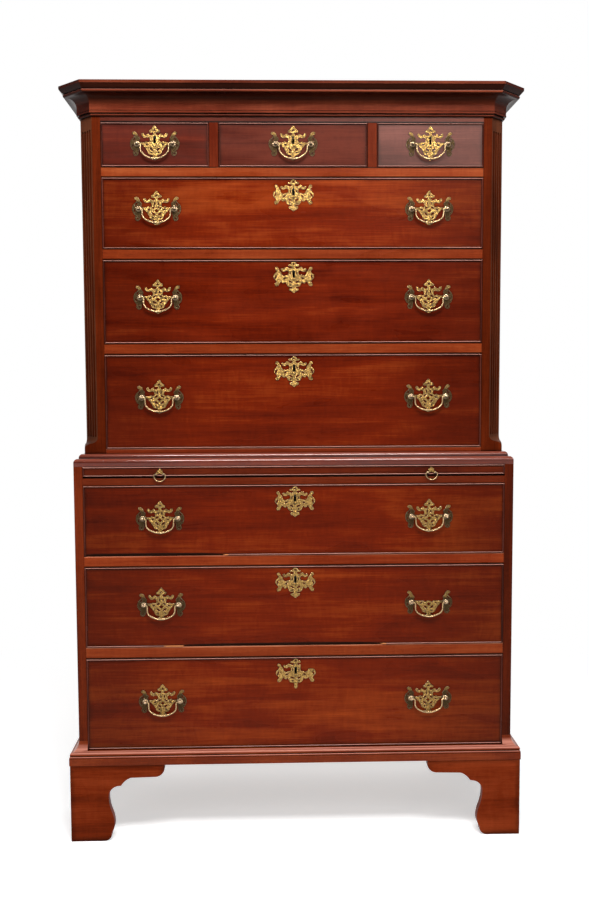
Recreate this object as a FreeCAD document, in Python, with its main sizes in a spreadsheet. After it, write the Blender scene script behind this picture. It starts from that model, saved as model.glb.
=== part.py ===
import FreeCAD, Part

import math
import os

from FreeCAD import Placement, Rotation, Vector

# Chest on chest, a two-stage mahogany chest of drawers.  Millimetres.
# X runs to the right, Y runs from front to back, Z is up.
# The origin lies on the floor, under the middle of the outer box.

SIZES = {
    # lower case
    "lower_width": 1070,
    "lower_depth": 550,
    "lower_side_thickness": 21.5,
    "foot_height": 191,
    "base_rail": 34,
    "low_opening": 227,
    "low_rail": 28,
    "mid_opening": 199,
    "mid_rail": 26.5,
    "high_opening": 173.5,
    "slide_rail": 17.5,
    "slide_opening": 28,
    "lower_top": 18,
    # upper case
    "upper_setback": 24,
    "upper_side_thickness": 20,
    "upper_base_rail": 23.5,
    "third_opening": 228.5,
    "third_rail": 26.5,
    "second_opening": 200.5,
    "second_rail": 26,
    "first_opening": 169,
    "small_rail": 24.5,
    "small_opening": 104.5,
    "top_rail": 48,
    "upper_top": 18,
    "divider_centre": 190,
    "divider_width": 22,
    # canted and fluted corners
    "cant_leg": 32,
    "stile_width": 20,
    "stile_thickness": 24,
    "post_depth": 56,
    "flute_pitch": 9.5,
    "flute_radius": 3.4,
    "flute_top_margin": 34,
    "flute_stop": 52,
    "tongue_low": 25,
    "tongue_high": 49,
    # boards inside the cases
    "rail_depth": 56,
    "top_rail_thickness": 24,
    "board_thickness": 18,
    "runner_width": 45,
    "housing_depth": 6,
    "dust_thickness": 8,
    "guide_height": 18,
    "back_thickness": 12,
    "back_rebate": 10,
    "back_gap": 0.5,
    "stop_length": 40,
    "stop_depth": 12,
    "stop_height": 5,
    "stop_inset": 120,
    "stop_gap": 0.2,
    # mouldings
    "cornice_reach": 47.5,
    "cornice_height": 72,
    "cornice_lift": 13.5,
    "waist_tongue": 11,
    "waist_drop": 17.5,
    "waist_rise": 12.5,
    "base_reach": 21.5,
    "base_fascia": 18,
    "base_moulding_height": 55.5,
    "glue_block": 14,
    "glue_block_length": 70,
    # bracket feet
    "foot_reach": 20,
    "foot_thickness": 20,
    "foot_length": 231,
    "rear_bracket_length": 150,
    "corner_block": 45,
    "corner_block_lift": 3,
    # drawers
    "drawer_side_gap": 1,
    "drawer_top_gap": 1.5,
    "running_gap": 0.4,
    "drawer_back_gap": 34,
    "front_thickness": 21,
    "lap_depth": 14,
    "side_thickness": 10,
    "side_drop": 5,
    "back_drop": 9,
    "bottom_lift": 8,
    "bottom_thickness": 7,
    "bottom_groove": 5,
    "tail_pitch": 42,
    "tail_share": 0.6,
    "tail_flare": 2.2,
    "bead_thickness": 3,
    "bead_proud": 2.4,
    "bead_depth": 6.5,
    "first_loss_end": -175,
    "second_loss_start": -274,
    "second_loss_end": 211,
    "break_slant": 5,
    # brushing slide
    "slide_strip_depth": 18,
    "slide_thickness": 19,
    "slide_length": 420,
    "slide_cleat": 50,
    "slide_top_gap": 1,
    "slide_bottom_gap": 4,
    # brasses
    "plate_thickness": 1.6,
    "pull_offset": 328,
    "pull_rise_upper": 10,
    "pull_rise_lower": 5,
    "pull_rise_small": 1.5,
    "post_half_spacing": 42.5,
    "post_ball": 4.6,
    "post_neck": 3,
    "post_shank": 3,
    "post_collar": 7,
    "post_hole_gap": 0.2,
    "nut_radius": 7,
    "nut_thickness": 3.5,
    "bail_standoff": 9.5,
    "bail_half_width": 33.5,
    "bail_drop": 33.5,
    "small_bail_drop": 36,
    "bail_straight": 12,
    "bail_corner": 3,
    "bail_bend": 16,
    "bail_pin": 1.7,
    "bail_thin": 1.9,
    "bail_thick": 2.5,
    "pin_gap": 0.08,
    "escutcheon_drop": 39,
    "keyhole_top": 10.6,
    "keyhole_bottom": -3.8,
    "keyhole_radius": 3.4,
    "keyhole_slot": 2.9,
    "small_keyhole_lift": 4,
    "lock_width": 64,
    "lock_height": 58,
    "lock_depth": 12,
    "lock_recess": 8,
    "lock_pin": 1.6,
    "break_level": 3.5,
    "break_half_width": 33,
    "lost_arm_start": 11.8,
    "lost_arm_level": 8.2,
    "lost_finial_half": 3.9,
    "lost_finial_level": -28,
    # slide pulls
    "slide_pull_offset": 330,
    "slide_pull_shift": 3,
    "slide_pull_rise": 9,
    "slide_post_half_spacing": 8.6,
    "slide_post_ball": 2.9,
    "slide_post_neck": 1.6,
    "slide_post_shank": 1.4,
    "slide_post_collar": 1.8,
    "slide_bail_standoff": 6,
    "slide_bail_half_width": 13.9,
    "slide_bail_drop": 17,
    "slide_bail_straight": 4,
    "slide_bail_corner": 1.8,
    "slide_bail_bend": 10,
    "slide_bail_pin": 1,
    "slide_bail_thin": 1.3,
    "slide_bail_thick": 1.7,
    "slide_plate_thickness": 1.2,
}

doc = FreeCAD.newDocument("ChestOnChest")
dims = doc.addObject("Spreadsheet::Sheet", "Dims")
for row, (alias, value) in enumerate(SIZES.items(), start=1):
    dims.set(f"A{row}", alias)
    dims.set(f"B{row}", str(value))
    dims.setAlias(f"B{row}", alias)
doc.recompute()


def num(expression):
    """Value of an expression of the sheet's sizes."""
    return float(dims.evalExpression(str(expression)))


def size(alias):
    """Value of one size of the sheet."""
    return num(f"Dims.{alias}")


# Places that many parts share, as expressions of the sheet's sizes.
FRONT = "((Dims.cornice_reach - Dims.upper_setback - Dims.lower_depth) / 2)"
BACK = f"({FRONT} + Dims.lower_depth)"
UPPER_FRONT = f"({FRONT} + Dims.upper_setback)"
INNER_BACK = f"({BACK} - Dims.back_thickness)"
LOWER_HALF = "(Dims.lower_width / 2)"
LOWER_INNER = f"({LOWER_HALF} - Dims.lower_side_thickness)"
UPPER_HALF = f"({LOWER_HALF} - Dims.upper_setback)"
UPPER_INNER = f"({UPPER_HALF} - Dims.upper_side_thickness)"
UPPER_OPENING = f"({UPPER_HALF} - Dims.cant_leg - Dims.stile_width)"
POST_BACK = f"({UPPER_FRONT} + Dims.post_depth)"

LOWER_STACK = ("base_rail", "low_opening", "low_rail", "mid_opening", "mid_rail", "high_opening",
               "slide_rail", "slide_opening", "lower_top")
UPPER_STACK = ("upper_base_rail", "third_opening", "third_rail", "second_opening", "second_rail",
               "first_opening", "small_rail", "small_opening", "top_rail", "upper_top")


def heights(start, names):
    """Lower and upper level of each layer of a case, from its floor up."""
    spans = {}
    low = start
    for name in names:
        high = f"({low} + Dims.{name})"
        spans[name] = (low, high)
        low = high
    return spans


LEVEL = heights("Dims.foot_height", LOWER_STACK)
LOWER_TOP = LEVEL["lower_top"][1]
LEVEL.update(heights(LOWER_TOP, UPPER_STACK))
UPPER_TOP = LEVEL["upper_top"][1]
CORNICE_FOOT = f"({LEVEL['top_rail'][0]} + Dims.cornice_lift)"
WAIST_FOOT = f"({LOWER_TOP} - Dims.waist_drop)"


# ---------------------------------------------------------------- helpers

def box(name, x, y, z):
    """Board between two places on each axis, bound to the sheet."""
    board = doc.addObject("Part::Box", name)
    for extent, axis, (low, high) in zip(("Length", "Width", "Height"), "xyz", (x, y, z)):
        board.setExpression(extent, f"({high}) - ({low})")
        board.setExpression(f"Placement.Base.{axis}", f"{low}")
    return board


def sided(sign, inner, outer):
    """Span on one side of the middle plane: sign -1 is left, 1 is right."""
    if sign > 0:
        return (inner, outer)
    return (f"(-{outer})", f"(-{inner})")


def around(centre, half):
    """Span of a given half width around a place."""
    return (f"({centre} - {half})", f"({centre} + {half})")


def joined(name, members):
    union = doc.addObject("Part::MultiFuse", name)
    union.Shapes = members
    return union


def cut(name, base, tools):
    """Base less its tools, which don't overlap one another."""
    result = doc.addObject("Part::Cut", name)
    result.Base = base
    if len(tools) == 1:
        result.Tool = tools[0]
    else:
        bundle = doc.addObject("Part::Compound", f"{name}_tools")
        bundle.Links = tools
        result.Tool = bundle
    return result


def feature(name, shape, x="0", y="0", z="0"):
    """Shape worked out from the sheet, placed by expressions of it."""
    result = doc.addObject("Part::Feature", name)
    result.Shape = shape
    result.Placement = Placement(Vector(num(x), num(y), num(z)), Rotation())
    for axis, place in zip("xyz", (x, y, z)):
        result.setExpression(f"Placement.Base.{axis}", f"{place}")
    return result


def link(name, source, x, y, z):
    """Another copy of a piece that is modelled around the origin."""
    copy = doc.addObject("App::Link", name)
    copy.LinkedObject = source
    for axis, place in zip("xyz", (x, y, z)):
        copy.setExpression(f"Placement.Base.{axis}", f"{place}")
    return copy


NODES = []


def node(label, members):
    """One sub-part: its pieces as separate solids."""
    bundle = doc.addObject("Part::Compound", f"node_{label}")
    bundle.Links = members
    bundle.Label = label
    NODES.append(bundle)
    return bundle


def path(start, steps, place):
    """Closed wire from lines (x, y) and arcs ((middle), (end)) in a plane."""
    edges = []
    here = start
    for step in steps + [start]:
        if isinstance(step[0], tuple):
            middle, there = step
            arc = Part.Arc(place(*here), place(*middle), place(*there))
            edges.append(arc.toShape())
        else:
            there = step
            if math.dist(here, there) < 1e-6:
                continue
            edges.append(Part.LineSegment(place(*here), place(*there)).toShape())
        here = there
    return Part.Wire(edges)


def rounded(points, place):
    """Closed wire through the middles of a polygon's sides, with tangent arcs at its corners."""
    edges = []
    count = len(points)
    corners = [Vector(x, y, 0) for x, y in points]
    ends = []
    for i, corner in enumerate(corners):
        before = corners[i - 1] - corner
        after = corners[(i + 1) % count] - corner
        reach = 0.5 * min(before.Length, after.Length)
        into = corner + before.normalize() * reach
        out = corner + after.normalize() * reach
        half_turn = before.getAngle(after) / 2
        bisector = before + after
        if bisector.Length < 1e-3:
            middle = corner
        else:
            radius = reach * math.tan(half_turn)
            centre_distance = reach / math.cos(half_turn)
            middle = corner + bisector.normalize() * (centre_distance - radius)
        ends.append((into, middle, out))
    for i, (into, middle, out) in enumerate(ends):
        following = ends[(i + 1) % count][0]
        straight = (out - into).cross(middle - into).Length < 1e-3
        if straight:
            edges.append(Part.LineSegment(place(into.x, into.y), place(out.x, out.y)).toShape())
        else:
            arc = Part.Arc(place(into.x, into.y), place(middle.x, middle.y), place(out.x, out.y))
            edges.append(arc.toShape())
        if (following - out).Length > 1e-4:
            line = Part.LineSegment(place(out.x, out.y), place(following.x, following.y))
            edges.append(line.toShape())
    return Part.Wire(edges)


def mitred(section, start, end, outward, mitre_start, mitre_end, rise):
    """One length of moulding, cut to its mitres.

    section is a wire of (reach, height), start and end are the ends of its inner edge,
    outward is its reach direction, rise its height direction, and each mitre is how far
    an end moves for each millimetre of reach.
    """
    run = (end - start).normalize()
    margin = 160
    profile = section(lambda reach, height: start - run * margin + outward * reach + rise * height)
    length = (end - start).Length + 2 * margin
    bar = Part.Face(profile).extrude(run * length)
    wide = 120
    corners = [start - mitre_start * wide, start + mitre_start * wide,
               end + mitre_end * wide, end - mitre_end * wide]
    low = rise * -400
    block = Part.makePolygon([c + low for c in corners + corners[:1]])
    return bar.common(Part.Face(block).extrude(rise * 800))


def plan_mitre(normal_a, normal_b):
    """Offset of a corner between two faces, for each millimetre of reach."""
    return (normal_a + normal_b) * (1 / (1 + normal_a.dot(normal_b)))


LEFT, RIGHT, AHEAD, UP = Vector(-1, 0, 0), Vector(1, 0, 0), Vector(0, -1, 0), Vector(0, 0, 1)


# ---------------------------------------------------------------- cases

def back_boards(name, half, z):
    """Upright back boards, side by side in the rebates of the sides."""
    count = 5
    boards = []
    width = f"((2 * {half} + 2 * Dims.back_rebate) / {count})"
    for i in range(count):
        low = f"(-{half} - Dims.back_rebate + {i} * {width})"
        high = f"({low} + {width} - Dims.back_gap)"
        boards.append(box(f"{name}_{i + 1}", (low, high), (INNER_BACK, BACK), z))
    return boards


def runners(name, inner, front, z, tenon):
    """Pair of drawer runners, housed in the sides by a tenon."""
    pair = []
    for sign in (-1, 1):
        x = sided(sign, f"({inner} - Dims.runner_width)", f"({inner} + {tenon})")
        pair.append(box(f"{name}_{'left' if sign < 0 else 'right'}", x, (front, INNER_BACK), z))
    return pair


def dust_board(name, x, front, z):
    """Thin board between the runners, half way up their edge."""
    middle = f"(({z[0]} + {z[1]}) / 2)"
    return box(name, x, (front, INNER_BACK), around(middle, "Dims.dust_thickness / 2"))


def stops(name, centre, opening_half, front, floor):
    """Two small blocks on a rail that meet the back of a drawer front."""
    blocks = []
    start = f"({front} + Dims.front_thickness + Dims.stop_gap)"
    for sign in (-1, 1):
        middle = f"({centre} + {sign} * ({opening_half} - Dims.stop_inset))"
        blocks.append(box(f"{name}_{'left' if sign < 0 else 'right'}",
                          around(middle, "Dims.stop_length / 2"),
                          (start, f"({start} + Dims.stop_depth)"),
                          (floor, f"({floor} + Dims.stop_height)")))
    return blocks


def lower_case():
    floor = LEVEL["base_rail"][0]
    board_top = f"({floor} + Dims.board_thickness)"
    behind_rail = f"({FRONT} + Dims.rail_depth)"
    inner_boards = []
    housings = {-1: [], 1: []}
    for layer in ("low_rail", "mid_rail", "slide_rail"):
        pair = runners(f"lower_{layer}_runner", LOWER_INNER, behind_rail, LEVEL[layer],
                       "Dims.housing_depth")
        housings[-1].append(pair[0])
        housings[1].append(pair[1])
        inner_boards += pair
        half = f"({LOWER_INNER} - Dims.runner_width)"
        inner_boards.append(dust_board(f"lower_{layer}_dust", (f"(-{half})", half), behind_rail,
                                       LEVEL[layer]))
    inner_boards += runners("lower_floor_runner", LOWER_INNER, behind_rail,
                            (board_top, LEVEL["base_rail"][1]), "0")
    across = (f"(-{LOWER_INNER})", LOWER_INNER)
    inner_boards.append(box("lower_floor", across, (behind_rail, INNER_BACK), (floor, board_top)))
    tongue_front = f"({FRONT} + Dims.waist_tongue)"
    inner_boards.append(box("lower_top_board", across, (tongue_front, INNER_BACK),
                            LEVEL["lower_top"]))
    node("lower_inner_boards", inner_boards)

    sides = []
    for sign, word in ((-1, "left"), (1, "right")):
        board = box(f"lower_side_board_{word}", sided(sign, LOWER_INNER, LOWER_HALF),
                    (FRONT, BACK), (floor, LOWER_TOP))
        rebate = box(f"lower_back_rebate_{word}",
                     sided(sign, LOWER_INNER, f"({LOWER_INNER} + Dims.back_rebate)"),
                     (INNER_BACK, BACK), (floor, LOWER_TOP))
        ledge = box(f"lower_waist_rebate_{word}",
                    sided(sign, f"({LOWER_HALF} - Dims.waist_tongue)", LOWER_HALF),
                    (FRONT, BACK), (WAIST_FOOT, LOWER_TOP))
        toe = box(f"lower_waist_front_rebate_{word}",
                  sided(sign, LOWER_INNER, f"({LOWER_HALF} - Dims.waist_tongue)"),
                  (FRONT, tongue_front), (WAIST_FOOT, LOWER_TOP))
        sides.append(cut(f"lower_side_{word}", board, [rebate, ledge, toe] + housings[sign]))
    node("lower_sides", sides)
    node("lower_back", back_boards("lower_back_board", LOWER_INNER, (floor, LOWER_TOP)))

    rails = [box(f"lower_{layer}_front", across, (FRONT, behind_rail), LEVEL[layer])
             for layer in ("base_rail", "low_rail", "mid_rail", "slide_rail")]
    for opening in ("low_opening", "mid_opening", "high_opening"):
        rails += stops(f"{opening}_stop", "0", LOWER_INNER, FRONT, LEVEL[opening][0])
    node("lower_rails", rails)


def upper_case():
    floor = LOWER_TOP
    board_top = f"({floor} + Dims.board_thickness)"
    behind_rail = f"({UPPER_FRONT} + Dims.rail_depth)"
    inner_boards = []
    housings = {-1: [], 1: []}
    edge = f"({UPPER_OPENING} - Dims.runner_width)"
    for layer in ("third_rail", "second_rail", "small_rail"):
        for sign, word in ((-1, "left"), (1, "right")):
            runner = box(f"upper_{layer}_runner_{word}",
                         sided(sign, edge, f"({UPPER_INNER} + Dims.housing_depth)"),
                         (behind_rail, INNER_BACK), LEVEL[layer])
            housings[sign].append(runner)
            inner_boards.append(runner)
    for layer in ("third_rail", "second_rail"):
        inner_boards.append(dust_board(f"upper_{layer}_dust", (f"(-{edge})", edge), behind_rail,
                                       LEVEL[layer]))
    middle_low = "(Dims.divider_centre - Dims.runner_width)"
    middle_high = "(Dims.divider_centre + Dims.runner_width)"
    for sign, word in ((-1, "left"), (1, "right")):
        inner_boards.append(box(f"upper_small_middle_runner_{word}",
                                sided(sign, middle_low, middle_high),
                                (behind_rail, INNER_BACK), LEVEL["small_rail"]))
        inner_boards.append(dust_board(f"upper_small_dust_{word}", sided(sign, middle_high, edge),
                                       behind_rail, LEVEL["small_rail"]))
        guide_half = "(Dims.divider_width / 2)"
        guide = sided(sign, f"(Dims.divider_centre - {guide_half})",
                      f"(Dims.divider_centre + {guide_half})")
        low = LEVEL["small_opening"][0]
        inner_boards.append(box(f"upper_small_middle_guide_{word}", guide,
                                (behind_rail, INNER_BACK), (low, f"({low} + Dims.guide_height)")))
        inner_boards.append(box(f"upper_floor_runner_{word}", sided(sign, edge, UPPER_INNER),
                                (behind_rail, INNER_BACK), (board_top, LEVEL["third_opening"][0])))
        for opening in ("third_opening", "second_opening", "first_opening", "small_opening"):
            low = LEVEL[opening][0]
            inner_boards.append(box(f"upper_{opening}_guide_{word}",
                                    sided(sign, UPPER_OPENING, UPPER_INNER),
                                    (POST_BACK, INNER_BACK), (low, f"({low} + Dims.guide_height)")))
    inner_boards.append(dust_board("upper_small_dust_middle", (f"(-{middle_low})", middle_low),
                                   behind_rail, LEVEL["small_rail"]))
    across = (f"(-{UPPER_INNER})", UPPER_INNER)
    inner_boards.append(box("upper_floor", across, (behind_rail, INNER_BACK), (floor, board_top)))
    opening = (f"(-{UPPER_OPENING})", UPPER_OPENING)
    lip = box("upper_top_lip", opening,
              (f"({UPPER_FRONT} + Dims.top_rail_thickness)", POST_BACK), LEVEL["upper_top"])
    panel = box("upper_top_panel", across, (POST_BACK, INNER_BACK), LEVEL["upper_top"])
    inner_boards.append(joined("upper_top_board", [lip, panel]))
    node("upper_inner_boards", inner_boards)

    sides = []
    for sign, word in ((-1, "left"), (1, "right")):
        board = box(f"upper_side_board_{word}", sided(sign, UPPER_INNER, UPPER_HALF),
                    (POST_BACK, BACK), (floor, UPPER_TOP))
        rebate = box(f"upper_back_rebate_{word}",
                     sided(sign, UPPER_INNER, f"({UPPER_INNER} + Dims.back_rebate)"),
                     (INNER_BACK, BACK), (floor, UPPER_TOP))
        sides.append(cut(f"upper_side_{word}", board, [rebate] + housings[sign]))
    node("upper_sides", sides)
    node("upper_back", back_boards("upper_back_board", UPPER_INNER, (floor, UPPER_TOP)))

    rails = [box(f"upper_{layer}_front", opening, (UPPER_FRONT, behind_rail), LEVEL[layer])
             for layer in ("upper_base_rail", "third_rail", "second_rail", "small_rail")]
    rails.append(box("upper_top_rail_front", opening,
                     (UPPER_FRONT, f"({UPPER_FRONT} + Dims.top_rail_thickness)"),
                     (LEVEL["top_rail"][0], UPPER_TOP)))
    for sign, word in ((-1, "left"), (1, "right")):
        rails.append(box(f"small_divider_{word}",
                         around(f"({sign} * Dims.divider_centre)", "Dims.divider_width / 2"),
                         (UPPER_FRONT, behind_rail), LEVEL["small_opening"]))
    for name in ("third_opening", "second_opening", "first_opening"):
        rails += stops(f"{name}_stop", "0", UPPER_OPENING, UPPER_FRONT, LEVEL[name][0])
    for drawer in SMALL_DRAWERS:
        rails += stops(f"{drawer['name']}_stop", drawer["centre"], drawer["half"], UPPER_FRONT,
                       LEVEL["small_opening"][0])
    node("upper_rails", rails)


def canted_corners():
    """Corner posts: a cant with four flutes that ends in a lamb's tongue above the waist."""
    leg, stile = size("cant_leg"), size("stile_width")
    thickness, depth = size("stile_thickness"), size("post_depth")
    side = size("upper_side_thickness")
    floor, top = num(LOWER_TOP), num(UPPER_TOP)
    plan = [(0, 0), (0, depth), (-side, depth), (-leg - stile, thickness), (-leg - stile, 0)]
    posts = []
    for sign, word in ((1, "right"), (-1, "left")):
        corners = [Vector(sign * x, y, floor) for x, y in plan]
        post = Part.Face(Part.makePolygon(corners + corners[:1])).extrude(UP * (top - floor))
        outward = Vector(sign, -1, 0).normalize()
        along = Vector(sign, 1, 0).normalize()
        centre = Vector(-sign * leg / 2, leg / 2, 0)
        # the cant runs out over the tongue, in an S curve up to the square corner
        low, high = floor + size("tongue_low"), floor + size("tongue_high")
        reach = leg / math.sqrt(2)
        middle = (reach / 2, (low + high) / 2)
        swell = (reach * 0.14, high - (high - low) * 0.3)
        dip = (reach * 0.86, low + (high - low) * 0.3)

        def on_cant(out, height):
            return centre + outward * out + UP * height - along * leg

        waste = path((0, high), [(swell, middle), (dip, (reach, low)), (reach + 5, low),
                                 (reach + 5, top + 1), (0, top + 1)], on_cant)
        post = post.cut(Part.Face(waste).extrude(along * (2 * leg)))
        flute_low = floor + size("flute_stop") + size("flute_radius")
        flute_high = num(CORNICE_FOOT) - size("flute_top_margin")
        for i in (-1.5, -0.5, 0.5, 1.5):
            foot = centre + along * (i * size("flute_pitch")) + UP * flute_low
            flute = Part.makeCylinder(size("flute_radius"), flute_high - flute_low, foot, UP)
            ends = [Part.makeSphere(size("flute_radius"), foot + UP * rise)
                    for rise in (0, flute_high - flute_low)]
            post = post.cut(flute.fuse(ends))
        posts.append(feature(f"post_{word}", post, f"({sign} * {UPPER_HALF})", UPPER_FRONT, "0"))
    node("canted_corners", posts)


# ---------------------------------------------------------------- mouldings

def cornice_section(place):
    """Bead, fillet, quirk, cove, soffit, astragal, ovolo and top fillet."""
    reach, tall = size("cornice_reach"), size("cornice_height")
    steps = [(2.4, 0), ((5.2, 3), (2.4, 6)), (2.4, 7), (8.6, 7), (8.6, 11.5), (7, 11.5), (7, 12.8),
             (8.2, 12.8), (8.2, 25), ((14.6, 40.6), (reach - 17, 47)), (reach - 12, 47),
             ((reach - 9.2, 50.8), (reach - 11.4, 54.6)), (reach - 11.4, 55.6), (reach - 9.4, 55.6),
             ((reach - 4.2, 61), (reach - 1, 65.4)), (reach, 65.4), (reach, tall), (0, tall)]
    return path((0, 0), steps, place)


def waist_section(place):
    """Two quarter rounds, one above the other, over a flat."""
    out, rise, drop = size("upper_setback"), size("waist_rise"), size("waist_drop")
    tongue = out - size("waist_tongue")
    steps = [(4, rise), ((10, rise - 2.6), (12.6, rise - 8.6)), (12.6, rise - 11), (14, rise - 11),
             ((21, rise - 13.8), (out, rise - 21)), (out, -drop), (tongue, -drop), (tongue, 0), (0, 0)]
    return path((0, rise), steps, place)


def base_section(place):
    """Fascia, small bead, torus and a long cove up to the case."""
    reach, fascia, tall = size("base_reach"), size("base_fascia"), size("base_moulding_height")
    steps = [(reach, 0), (reach, fascia), (reach - 1, fascia),
             ((reach - 0.4, fascia + 2.6), (reach - 2.6, fascia + 4.4)), (reach - 3.6, fascia + 4.4),
             ((reach - 1.6, fascia + 9.6), (reach - 7.4, fascia + 14)), (reach - 9, fascia + 14),
             ((3.6, fascia + 24), (0.4, tall)), (0, tall)]
    return path((0, 0), steps, place)


def cornice():
    half, front, back = num(UPPER_HALF), num(UPPER_FRONT), num(BACK)
    leg, foot = size("cant_leg"), num(CORNICE_FOOT)
    lengths = []
    inner = {sign: Vector(sign * (half - leg), front, foot) for sign in (-1, 1)}
    slant = {sign: Vector(sign, -1, 0).normalize() for sign in (-1, 1)}
    mitre = {sign: plan_mitre(AHEAD, slant[sign]) for sign in (-1, 1)}
    lengths.append(mitred(cornice_section, inner[-1], inner[1], AHEAD, mitre[-1], mitre[1], UP))
    for sign, side in ((-1, LEFT), (1, RIGHT)):
        outer = Vector(sign * half, front + leg, foot)
        rear = Vector(sign * half, back, foot)
        turn = plan_mitre(side, slant[sign])
        lengths.append(mitred(cornice_section, inner[sign], outer, slant[sign], mitre[sign], turn, UP))
        lengths.append(mitred(cornice_section, outer, rear, side, turn, side, UP))
    names = ("front", "left_cant", "left_return", "right_cant", "right_return")
    pieces = [feature(f"cornice_{word}", shape) for word, shape in zip(names, lengths)]
    edge, block = UPPER_HALF, "Dims.glue_block"
    top = (UPPER_TOP, f"({UPPER_TOP} + {block})")
    for i in (-1, 0, 1):
        middle = f"({i} * {UPPER_OPENING} * 2 / 3)"
        pieces.append(box(f"cornice_front_block_{i + 2}", around(middle, "Dims.glue_block_length / 2"),
                          (UPPER_FRONT, f"({UPPER_FRONT} + {block})"), top))
    for sign, word in ((-1, "left"), (1, "right")):
        for i in (1, 2):
            middle = f"({POST_BACK} + {i} * ({BACK} - {POST_BACK}) / 3)"
            pieces.append(box(f"cornice_{word}_block_{i}", sided(sign, f"({edge} - {block})", edge),
                              around(middle, "Dims.glue_block_length / 2"), top))
    node("cornice", pieces)


def three_lengths(name, section, half, front, level):
    """Front and two side lengths of a moulding around a square-cornered case."""
    back = num(BACK)
    corner = {sign: Vector(sign * half, front, level) for sign in (-1, 1)}
    shapes = {"front": mitred(section, corner[-1], corner[1], AHEAD, AHEAD + LEFT, AHEAD + RIGHT, UP)}
    for sign, side, word in ((-1, LEFT, "left"), (1, RIGHT, "right")):
        rear = Vector(sign * half, back, level)
        shapes[word] = mitred(section, corner[sign], rear, side, side + AHEAD, side, UP)
    return {word: feature(f"{name}_{word}", shape) for word, shape in shapes.items()}


def case_mouldings():
    waist = three_lengths("waist", waist_section, num(UPPER_HALF), num(UPPER_FRONT), num(LOWER_TOP))
    node("waist_moulding", list(waist.values()))
    base = three_lengths("base", base_section, num(LOWER_HALF), num(FRONT), size("foot_height"))
    notch = box("base_front_notch", (f"(-{LOWER_INNER})", LOWER_INNER),
                (f"({FRONT} - Dims.base_reach)", FRONT),
                (LEVEL["base_rail"][1], f"({LEVEL['base_rail'][1]} + Dims.base_moulding_height)"))
    front = cut("base_front_length", base["front"], [notch])
    node("base_moulding", [front, base["left"], base["right"]])


# ---------------------------------------------------------------- feet

def bracket_outline(length, tall, place):
    """Bracket foot from its outer edge inward, with a cusp, a waist and a worn toe."""
    inner = length
    steps = [(82, 0), ((92, 3.6), (98.6, 12)), (99.4, 20), ((105, 32), (107, 45)),
             ((104.6, 61), (99.6, 76)), ((95, 94), (93.6, 110)), ((98.6, 128), (115, 138.4)),
             (124, 139.4), ((133, 150.4), (148, 159)), (inner - 24, 160.4),
             ((inner - 6, 168), (inner, tall - 10)), (inner, tall), (0, tall)]
    return path((0, 0), steps, place)


def plain_outline(length, tall, place):
    """Rear bracket: a straight foot with one hollow up to the case."""
    steps = [(70, 0), (76, 40), ((92, 118), (length, tall - 22)), (length, tall), (0, tall)]
    return path((0, 0), steps, place)


def bracket(outline, length, corner, along, outward, mitred_corner):
    """One bracket board, standing under the base moulding."""
    thick, tall = size("foot_thickness"), size("foot_height")
    wire = outline(length, tall, lambda u, v: corner + along * u + UP * v)
    board = Part.Face(wire).extrude(outward * -thick)
    if mitred_corner:
        inner = corner + along * thick - outward * thick
        waste = Part.makePolygon([corner, inner, corner - outward * thick, corner])
        board = board.cut(Part.Face(waste).extrude(UP * tall))
    return board


def feet():
    reach, thick = size("foot_reach"), size("foot_thickness")
    half, front, back = num(LOWER_HALF) + reach, num(FRONT) - reach, num(BACK)
    length, rear_length = size("foot_length"), size("rear_bracket_length")
    front_pieces, rear_pieces = [], []
    for sign, side, word in ((-1, LEFT, "left"), (1, RIGHT, "right")):
        corner = Vector(sign * half, front, 0)
        inward = side * -1
        face = bracket(bracket_outline, length, corner, inward, AHEAD, True)
        flank = bracket(bracket_outline, length, corner, AHEAD * -1, side, True)
        front_pieces += [feature(f"front_foot_face_{word}", face),
                         feature(f"front_foot_flank_{word}", flank)]
        rear = Vector(sign * half, back, 0)
        rear_flank = bracket(bracket_outline, length, rear, AHEAD, side, False)
        rear_face = bracket(plain_outline, rear_length, rear + inward * thick, inward,
                            AHEAD * -1, False)
        rear_pieces += [feature(f"rear_foot_flank_{word}", rear_flank),
                        feature(f"rear_foot_face_{word}", rear_face)]
        post = sided(sign, f"({LOWER_HALF} + Dims.foot_reach - Dims.foot_thickness - Dims.corner_block)",
                     f"({LOWER_HALF} + Dims.foot_reach - Dims.foot_thickness)")
        lift = ("Dims.corner_block_lift", "Dims.foot_height")
        nose = f"({FRONT} - Dims.foot_reach + Dims.foot_thickness)"
        tail = f"({BACK} - Dims.foot_thickness)"
        front_pieces.append(box(f"front_foot_block_{word}", post,
                                (nose, f"({nose} + Dims.corner_block)"), lift))
        rear_pieces.append(box(f"rear_foot_block_{word}", post,
                               (f"({tail} - Dims.corner_block)", tail), lift))
    node("front_feet", front_pieces)
    node("rear_feet", rear_pieces)


# ---------------------------------------------------------------- brasses

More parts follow.
